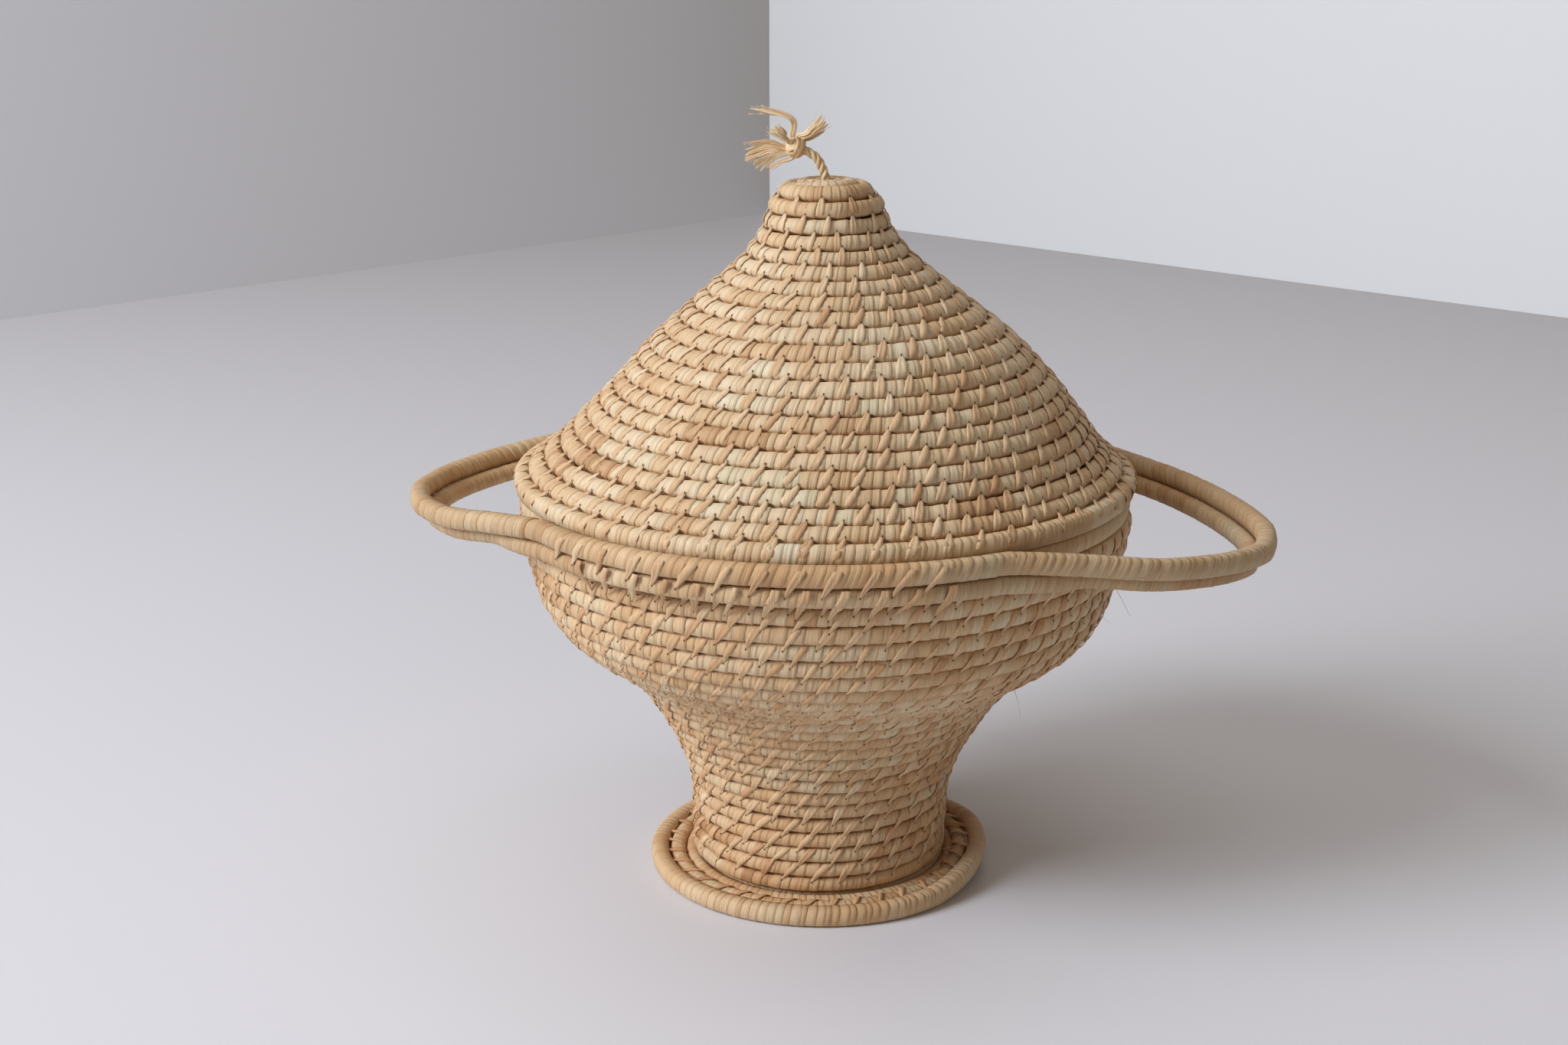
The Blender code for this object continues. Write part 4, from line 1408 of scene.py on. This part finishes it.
def lay_strips(name, strips, body, nodes, slot_name):
    """One piece from strips, each of them (points, side, half-widths, half-thickness, tone)."""
    bm = bmesh.new()
    uv = bm.loops.layers.uv.new("strip")
    tone_layer = bm.verts.layers.float.new("tone")
    turns = np.linspace(0, 2 * math.pi, STRIP_SIDES, endpoint=False)
    for points, side, widths, thickness, tone in strips:
        ahead = unit(np.gradient(points, axis=0))
        side = np.broadcast_to(side, points.shape)
        side = unit(side - (side * ahead).sum(axis=1)[:, None] * ahead)
        face_way = np.cross(ahead, side)
        travelled = lengths(points) * CM_PER_METRE
        widths = np.broadcast_to(widths, len(points))
        thick = np.minimum(thickness, widths)
        rings = []
        for i, point in enumerate(points):
            ring = []
            for turn in turns:
                across = side[i] * widths[i] * math.cos(turn)
                ring.append(bm.verts.new(point + across + face_way[i] * thick[i] * math.sin(turn)))
                ring[-1][tone_layer] = tone
            rings.append(ring)
        for i, (ring, following) in enumerate(zip(rings, rings[1:])):
            for j in range(STRIP_SIDES):
                k = (j + 1) % STRIP_SIDES
                face = bm.faces.new((ring[j], ring[k], following[k], following[j]))
                face.smooth = True
                places = ((j, i), (j + 1, i), (j + 1, i + 1), (j, i + 1))
                for loop, (column, step) in zip(face.loops, places):
                    around = 2 * math.pi * column / STRIP_SIDES
                    loop[uv].uv = (math.cos(around) * widths[step] * CM_PER_METRE, travelled[step])
        bm.faces.new(rings[0][::-1])
        bm.faces.new(rings[-1])
    made = finished(bm, name)
    made.data.materials.append(tassel_leaf)
    scene.collection.objects.link(made)
    place(made, body, nodes, slot_name)
    print(f"{name}: {len(made.data.polygons)} faces")


# %% [markdown]
# ### Braid
#
# The stalk starts upright in the crown's hole, and flops over to the left as it comes out. Three
# strands, each on its own helix round one bent line, are enough to read as a tight twist.

# %% Lay the braid
STALK_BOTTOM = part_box("braid_in_crown")[0][2]
PIVOT = np.array([0.0, 0.0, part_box("braid_in_crown")[1][2]])
# The topknot leans in a plane that faces the camera: (to the right, up, away)
RIGHT = np.array([math.cos(CAMERA_AZIMUTH), math.sin(CAMERA_AZIMUTH), 0.0])
AWAY = np.array([-math.sin(CAMERA_AZIMUTH), math.cos(CAMERA_AZIMUTH), 0.0])
LEAN_PLANE = np.array([RIGHT, (0.0, 0.0, 1.0), AWAY])
BRAID_BEND = (
    (0, 0, 0), (-0.0014, 0.005, 0), (-0.0046, 0.0107, 0), (-0.0098, 0.0141, 0), (-0.0112, 0.0145, 0),
)
STRAND_OFFSET = 0.00115
STRAND_HALF = 0.00125
STRAND_FLATNESS = 0.85
STRAND_TONES = (0.35, 0.60, 0.85)
BRAID_PITCH = 0.0105


def leaning(points):
    """Points of the leaning topknot, as points of the basket."""
    return PIVOT + np.array(points, float) @ LEAN_PLANE


def twisted(line, start):
    """Strands twisted round a line. start is how far along the stalk the line begins."""
    ahead = unit(np.gradient(line, axis=0))
    other = np.cross(ahead, AWAY)
    turns = (start + lengths(line)) / BRAID_PITCH * 2 * math.pi
    strips = []
    for number, tone in enumerate(STRAND_TONES):
        phase = turns + number * 2 * math.pi / len(STRAND_TONES)
        way = AWAY * np.cos(phase)[:, None] + other * np.sin(phase)[:, None]
        path = line + way * STRAND_OFFSET
        strips.append((path, AWAY, STRAND_HALF, STRAND_HALF * STRAND_FLATNESS, tone))
    return strips


stalk_length = PIVOT[2] - STALK_BOTTOM
stalk = np.linspace((0, 0, STALK_BOTTOM), PIVOT, 12)
lay_strips("braid_in_crown_strands", twisted(stalk, 0.0), "lid", ["braid_in_crown"], "braid_straw")
bend = leaning(smooth_line(BRAID_BEND, 9))
strands = twisted(bend, stalk_length)
lay_strips("topknot_strands", strands, "topknot", ["topknot_braid"], "braid_straw")

# %% [markdown]
# ### Knots
#
# A knot is strips wound round each other into a ball. Each is drawn as a ring round a core, in a
# plane of its own.

# %% Lay the knots
KNOT_CENTRE = (-0.0138, 0.0153, 0.0)
# (tilt, turn) of each strip's axis, in degrees
KNOT_TURNS = ((62, 200), (70, 230), (28, 100), (85, 150), (50, 320), (100, 20))
# As shares of the knot's radius: how far a ring lies to the side, how far out, and its half-size
RING_SHIFTS = (-0.28, 0.30)
RING_REACHES = (0.86, 0.83, 0.80)
RING_WIDTH = 0.36
RING_THICKNESS = 0.13
RING_TONES = (0.30, 0.45, 0.60, 0.75)
RING_ANGLES = np.linspace(0, math.radians(356), 26)
# The core ends a little short of the knot's top and bottom, and is an upright oval.
CORE_ENDS = np.linspace(-0.83, 0.83, 11)
CORE_WIDTHS = np.sqrt(0.72 - CORE_ENDS**2)
KNOT_CORE_TONE = 0.2


def wound_knot(name, centre, radius, turns, body, node_name):
    """A ball of strips, each wound once round the others."""
    strips = []
    for number, turn in enumerate(turns):
        tilt, turn = np.radians(turn)
        axis = np.array([math.sin(tilt) * math.cos(turn), math.sin(tilt) * math.sin(turn), math.cos(tilt)])
        first = unit(np.cross(axis, (0.37, 0.61, 0.70)))
        second = np.cross(axis, first)
        ring = np.cos(RING_ANGLES)[:, None] * first + np.sin(RING_ANGLES)[:, None] * second
        ring = centre + axis * radius * RING_SHIFTS[number % 2] + ring * radius * RING_REACHES[number % 3]
        tone = RING_TONES[number % 4]
        strips.append((ring, axis, radius * RING_WIDTH, radius * RING_THICKNESS, tone))
    core = centre + CORE_ENDS[:, None] * radius * np.array([0.0, 0.0, 1.0])
    strips.append((core, RIGHT, radius * CORE_WIDTHS, radius, KNOT_CORE_TONE))
    lay_strips(name, strips, body, [node_name], "tassel_straw")


low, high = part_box("topknot_knot")
radius = (high[2] - low[2]) / 2
wound_knot("wound_knot", leaning(KNOT_CENTRE), radius, KNOT_TURNS, "topknot", "topknot_knot")
low, high = np.array(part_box("stopper_knot"))
radius = (high[2] - low[2]) / 2
wound_knot("wound_stopper", (low + high) / 2, radius, KNOT_TURNS[::-1], "lid", "stopper_knot")

# %% [markdown]
# ### Tassel
#
# The loose ends are flat strips that leave the knot all round. Each has split into bands that part
# towards the tip, and some single fibres stand off between them.

# %% Lines of the tassel
# (name, way out of the knot, a point half way, the tip), as (to the right, up, away)
TASSEL = (
    ("long", (-0.35, 0.85, 0.4), (-0.0165, 0.0285, 0.003), (-0.0350, 0.0334, 0.005)),
    ("top", (0.20, 0.95, -0.25), (-0.0085, 0.0225, -0.003), (-0.0014, 0.0299, -0.003)),
    ("right", (0.65, 0.62, 0.45), (-0.0065, 0.0205, 0.004), (0.0005, 0.0260, 0.006)),
    ("upper_back", (-0.70, 0.6, -0.4), (-0.0195, 0.0215, -0.005), (-0.0237, 0.0263, -0.006)),
    ("upper_front", (-0.78, 0.38, 0.5), (-0.0215, 0.0200, 0.005), (-0.0272, 0.0224, 0.007)),
    ("left", (-1, 0.02, -0.05), (-0.0270, 0.0175, -0.001), (-0.0378, 0.0153, -0.001)),
    ("lower_front", (-0.8, -0.4, 0.45), (-0.0265, 0.0135, 0.006), (-0.0375, 0.0090, 0.008)),
    ("lower_back", (-0.75, -0.4, -0.52), (-0.0240, 0.0120, -0.006), (-0.0329, 0.0076, -0.009)),
    ("hanging", (-0.42, -0.88, 0.2), (-0.0205, 0.0086, 0.002), (-0.0276, 0.0054, 0.003)),
)
# A strip starts this far from the knot's middle, and runs straight until it is so many times as far.
ROOT = 0.0034
STRAIGHT = 1.7
print(len(TASSEL), "strips in the tassel")

# %% [markdown]
# A cloth or hair simulation could fray the strips, but it would come out different each time. Waves
# that grow towards the tip do the same, and a fixed seed keeps them.

# %% Lay the tassel
TASSEL_HALF_WIDTH = 0.0017
TASSEL_HALF_THICKNESS = 0.0001
FIBRE_HALF = 0.0001
FIBRE_COUNT = 11
# How far the bands part at the tip, and where across the strip they lie
SPREAD = 0.0014
BANDS = (-1.5, -0.5, 0.5, 1.5)
# One band goes all the way, and each other one ends at one of these shares of it.
WHOLE_BAND = 0.5
BAND_ENDS = (0.8, 0.88, 0.94, 1.0)
# As shares of the strip's half-width: from one band to the next, and half a band, at root and tip
BAND_APART = (0.30, 0.64)
BAND_HALVES = (0.34, 0.48)
# Chance picks a band's taper (the higher, the blunter), and the tones.
TAPERS = (5, 8, 12)
TAPER_SHARE = 0.40
STRIP_TONES = (0.25, 0.8)
FIBRE_TONES = (0.3, 0.9)
# How far bands and fibres stand off, in shares of the spread
BAND_LIFT = 0.6
BAND_SWING = 0.4
FIBRE_WAVE = 2.4
FIBRE_RISE = 1.8


def blend(ends, share):
    """The value between two ends, at a share of the way."""
    return ends[0] + (ends[1] - ends[0]) * share


def frayed_strip(line, rng):
    """A strip whose bands part towards the tip, with some single fibres."""
    ahead = unit(np.gradient(line, axis=0))
    flat = unit(np.cross(ahead, AWAY * 0.75 - np.array([0, 0, 0.65])))
    along = lengths(line) / lengths(line)[-1]
    twist = (rng.uniform(-1, 1) * along)[:, None]
    side = flat * np.cos(twist) + np.cross(ahead, flat) * np.sin(twist)
    other = np.cross(ahead, side)
    tone = rng.uniform(*STRIP_TONES)
    bands = []
    for number in BANDS:
        last = rng.choice(BAND_ENDS) if number != WHOLE_BAND else 1.0
        bend = rng.uniform(-0.2, 1.0) * SPREAD * along**4
        lift = rng.uniform(-1, 1) * SPREAD * BAND_LIFT * along**2
        # The bands lie side by side at the root and spread towards the tip.
        at = number * (TASSEL_HALF_WIDTH * blend(BAND_APART, along) + bend)
        path = line + side * at[:, None] + other * (lift + number * TASSEL_HALF_THICKNESS)[:, None]
        path = path + AWAY * (rng.uniform(-1, 1) * SPREAD * BAND_SWING * np.sin(along * 5))[:, None]
        # Each widens a little on its way, and tapers to its end.
        keep = along <= last + 1e-6
        share = along[keep] / along[keep][-1]
        taper = TAPER_SHARE * share ** rng.choice(TAPERS)
        widths = TASSEL_HALF_WIDTH * (blend(BAND_HALVES, share) - taper)
        shown = min(1.0, max(0.0, tone + 0.10 * number))
        bands.append((path[keep], side[keep], widths, TASSEL_HALF_THICKNESS, shown))
    # A fibre stands off as far as it likes, and shows only for a part of the way.
    for _ in range(FIBRE_COUNT):
        wave = rng.uniform(-FIBRE_WAVE, FIBRE_WAVE) * SPREAD * along**2
        rise = rng.uniform(-FIBRE_RISE, FIBRE_RISE) * SPREAD * along**2
        path = line + side * wave[:, None] + other * rise[:, None]
        first = rng.randint(0, len(path) // 2)
        path = path[first : rng.randint(len(path) - 3, len(path))]
        bands.append((path, AWAY, FIBRE_HALF, FIBRE_HALF, rng.uniform(*FIBRE_TONES)))
    return bands


tassel_rng = random.Random(5)
for strip_name, way, halfway, tip in TASSEL:
    start = np.array(KNOT_CENTRE) + unit(way) * ROOT
    near = np.array(KNOT_CENTRE) + unit(way) * ROOT * STRAIGHT
    line = leaning(smooth_line([start, near, halfway, tip], 9))
    strips = frayed_strip(line, tassel_rng)
    lay_strips(f"frayed_{strip_name}", strips, "topknot", [f"tassel_strip_{strip_name}"], "tassel_straw")


# %% [markdown]
# ## Loose hairs
#
# A few fibres have come loose from the wrapping and stand out from the wall. They show best against
# the plain background. Each starts on a row, and droops towards its tip.

# %% Loose hairs
HAIR_HALF = 0.00014
# A hair starts at this share of the coil's half-size, and its tip is thinner by the other.
HAIR_ROOT = 0.85
HAIR_TAPER = 0.6
HAIR_TONE = 0.6


def hair(row, turn, length, way, curl):
    """A fibre from a row. way is (along the coil, up the wall, out of it), and curl bends the tip."""
    angle = np.array([CAMERA_AZIMUTH - math.radians(turn)])
    root = settle(swept(angle, row.middle + row.out * row.depth * HAIR_ROOT))[0]
    ahead = np.array([-math.sin(angle[0]), math.cos(angle[0]), 0.0])
    axes = np.array([ahead, swept(angle, row.up)[0], swept(angle, row.out)[0]])
    share = np.linspace(0, 1, 12)[:, None]
    line = root + share * length * (unit(way) @ axes)
    line = line + share**2 * length * (np.array(curl) @ axes)
    widths = HAIR_HALF * (1 - HAIR_TAPER * share[:, 0])
    return line, (0.0, 0.0, 1.0), widths, HAIR_HALF, HAIR_TONE


# (row, degrees round from the basket's right side towards the camera, length, way, curl)
BASKET_HAIRS = (
    (bowl_rows[-3], 24, 0.017, (-0.5, -0.5, 0.6), (0.1, -0.3, 0.1)),
    (bowl_rows[-4], 31, 0.012, (0.5, -0.7, 0.5), (0.2, -0.1, 0.0)),
    (bowl_rows[0], 12, 0.015, (-0.2, -0.4, 0.8), (-0.2, -0.3, 0.0)),
    (pedestal_rows[1], 8, 0.020, (-0.4, 0.1, 0.8), (0.0, -0.2, 0.1)),
    (pedestal_rows[0], 20, 0.016, (0.2, -0.1, 0.9), (0.3, 0.1, -0.2)),
    (pedestal_rows[6], 75, 0.014, (0.8, -0.3, 0.3), (0.0, -0.4, 0.0)),
    (bowl_rows[4], 96, 0.013, (-0.7, 0.4, 0.4), (0.1, -0.3, 0.1)),
    (bowl_rows[-1], 158, 0.016, (0.6, 0.4, 0.5), (-0.3, -0.3, 0.0)),
    (bowl_rows[2], 175, 0.012, (-0.3, -0.6, 0.6), (0.0, 0.2, 0.0)),
    (pedestal_rows[3], 214, 0.015, (0.5, 0.4, 0.6), (0.2, -0.3, 0.0)),
    (bowl_rows[6], 262, 0.014, (-0.5, -0.4, 0.6), (0.3, 0.0, 0.0)),
)
LID_HAIRS = (
    (lid_rows[2], 146, 0.013, (0.6, 0.2, 0.6), (-0.2, -0.2, 0.0)),
    (lid_rows[5], 18, 0.012, (-0.6, 0.4, 0.6), (0.1, -0.3, 0.1)),
    (lid_rows[9], 82, 0.010, (0.8, -0.2, 0.4), (0.0, -0.4, 0.0)),
    (lid_rows[13], 168, 0.009, (-0.4, 0.5, 0.7), (0.3, -0.2, 0.0)),
    (lid_rows[7], 250, 0.012, (0.5, 0.3, 0.6), (-0.2, -0.3, 0.0)),
)
lay_strips("basket_hairs", [hair(*values) for values in BASKET_HAIRS], "basket", (), "bowl_straw")
lay_strips("lid_hairs", [hair(*values) for values in LID_HAIRS], "lid", (), "lid_straw")

# %% [markdown]
# ## Table and walls
#
# The table and the walls behind it are plain and pale. The walls meet behind the basket, a little to
# the left. They are seen, but throw no light back on the basket.

# %% Set the stage
# The table lies a little under the plate's solid, because wraps are not quite flat.
TABLE_Z = -0.0002
TABLE_REACH = 6.0
WALL_HEIGHT = 3.0
WALL_LENGTH = 5.0
CORNER_DISTANCE = 2.4
CORNER_TURN = math.radians(15.0)


def stage_sheet(name, corners, code, roughness):
    """A painted sheet that belongs to the stage."""
    paint, _, shader = new_material(name.replace("_", " ") + " paint", roughness)
    shader.inputs["Base Color"].default_value = colour(code)
    mesh = bpy.data.meshes.new(name)
    mesh.from_pydata(corners, [], [tuple(range(len(corners)))])
    mesh.materials.append(paint)
    made = bpy.data.objects.new(name, mesh)
    scene.collection.objects.link(made)
    return made


signs = ((-1, -1), (1, -1), (1, 1), (-1, 1))
stage_sheet("table", [(x * TABLE_REACH, y * TABLE_REACH, TABLE_Z) for x, y in signs], "DFE2E9", 0.5)
corner = np.array([-math.sin(CORNER_TURN), math.cos(CORNER_TURN)]) * CORNER_DISTANCE
for name, code, side in (("left_wall", "EEF2F8", -1), ("right_wall", "EDF2F6", 1)):
    # The walls meet at a right angle.
    turned = CORNER_TURN - side * math.radians(45)
    end = corner + side * WALL_LENGTH * np.array([math.cos(turned), math.sin(turned)])
    foot = [(*corner, TABLE_Z), (*end, TABLE_Z)]
    top = [(*end, WALL_HEIGHT), (*corner, WALL_HEIGHT)]
    stage_sheet(name, foot + top, code, 0.8).visible_diffuse = False
print("the walls meet", CORNER_DISTANCE, "m from the basket")

# %% [markdown]
# ## Light
#
# The light is soft and comes from the upper left, as from a window. Area lamps give such light, and
# need no picture of a room. The room itself lights the basket dimly and warmly, but the camera sees
# it as pale as the walls.

# %% Light the room
ROOM_STRENGTH = 0.16
world = bpy.data.worlds.new("room")
world.use_nodes = True
tree = world.node_tree
warm = tree.nodes["Background"]
warm.inputs["Color"].default_value = colour("F9DFC6")
warm.inputs["Strength"].default_value = ROOM_STRENGTH
pale = node(tree, "ShaderNodeBackground", values={"Color": colour("C4C7CC"), "Strength": 1.0})
is_seen = node(tree, "ShaderNodeLightPath").outputs["Is Camera Ray"]
seen = node(tree, "ShaderNodeMixShader", {0: is_seen, 1: warm, 2: pale})
tree.links.new(seen.outputs[0], tree.nodes["World Output"].inputs["Surface"])
scene.world = world

# %% Hang the lamps
# (name, place, height of what it points at, size, watts, colour)
LAMPS = (
    ("window_left", (-2.35, -1.7, 1.9), 0.18, 1.65, 136, "F6F8FF"),
    ("window_front", (0.9, -2.2, 1.3), 0.2, 1.5, 4, "FFF6EA"),
    ("ceiling_bounce", (-0.3, 0.1, 2.6), 0.2, 2.4, 19, "FFFAF6"),
)
for name, spot, aim, size, watts, code in LAMPS:
    lamp = bpy.data.lights.new(name, "AREA")
    lamp.shape = "SQUARE"
    lamp.size = size
    lamp.energy = watts
    lamp.color = colour(code)[:3]
    made = bpy.data.objects.new(name, lamp)
    made.location = spot
    made.rotation_euler = (Vector((0, 0, aim)) - Vector(spot)).to_track_quat("-Z", "Y").to_euler()
    scene.collection.objects.link(made)
print(len(LAMPS), "lamps")

scene.view_settings.view_transform = "Standard"
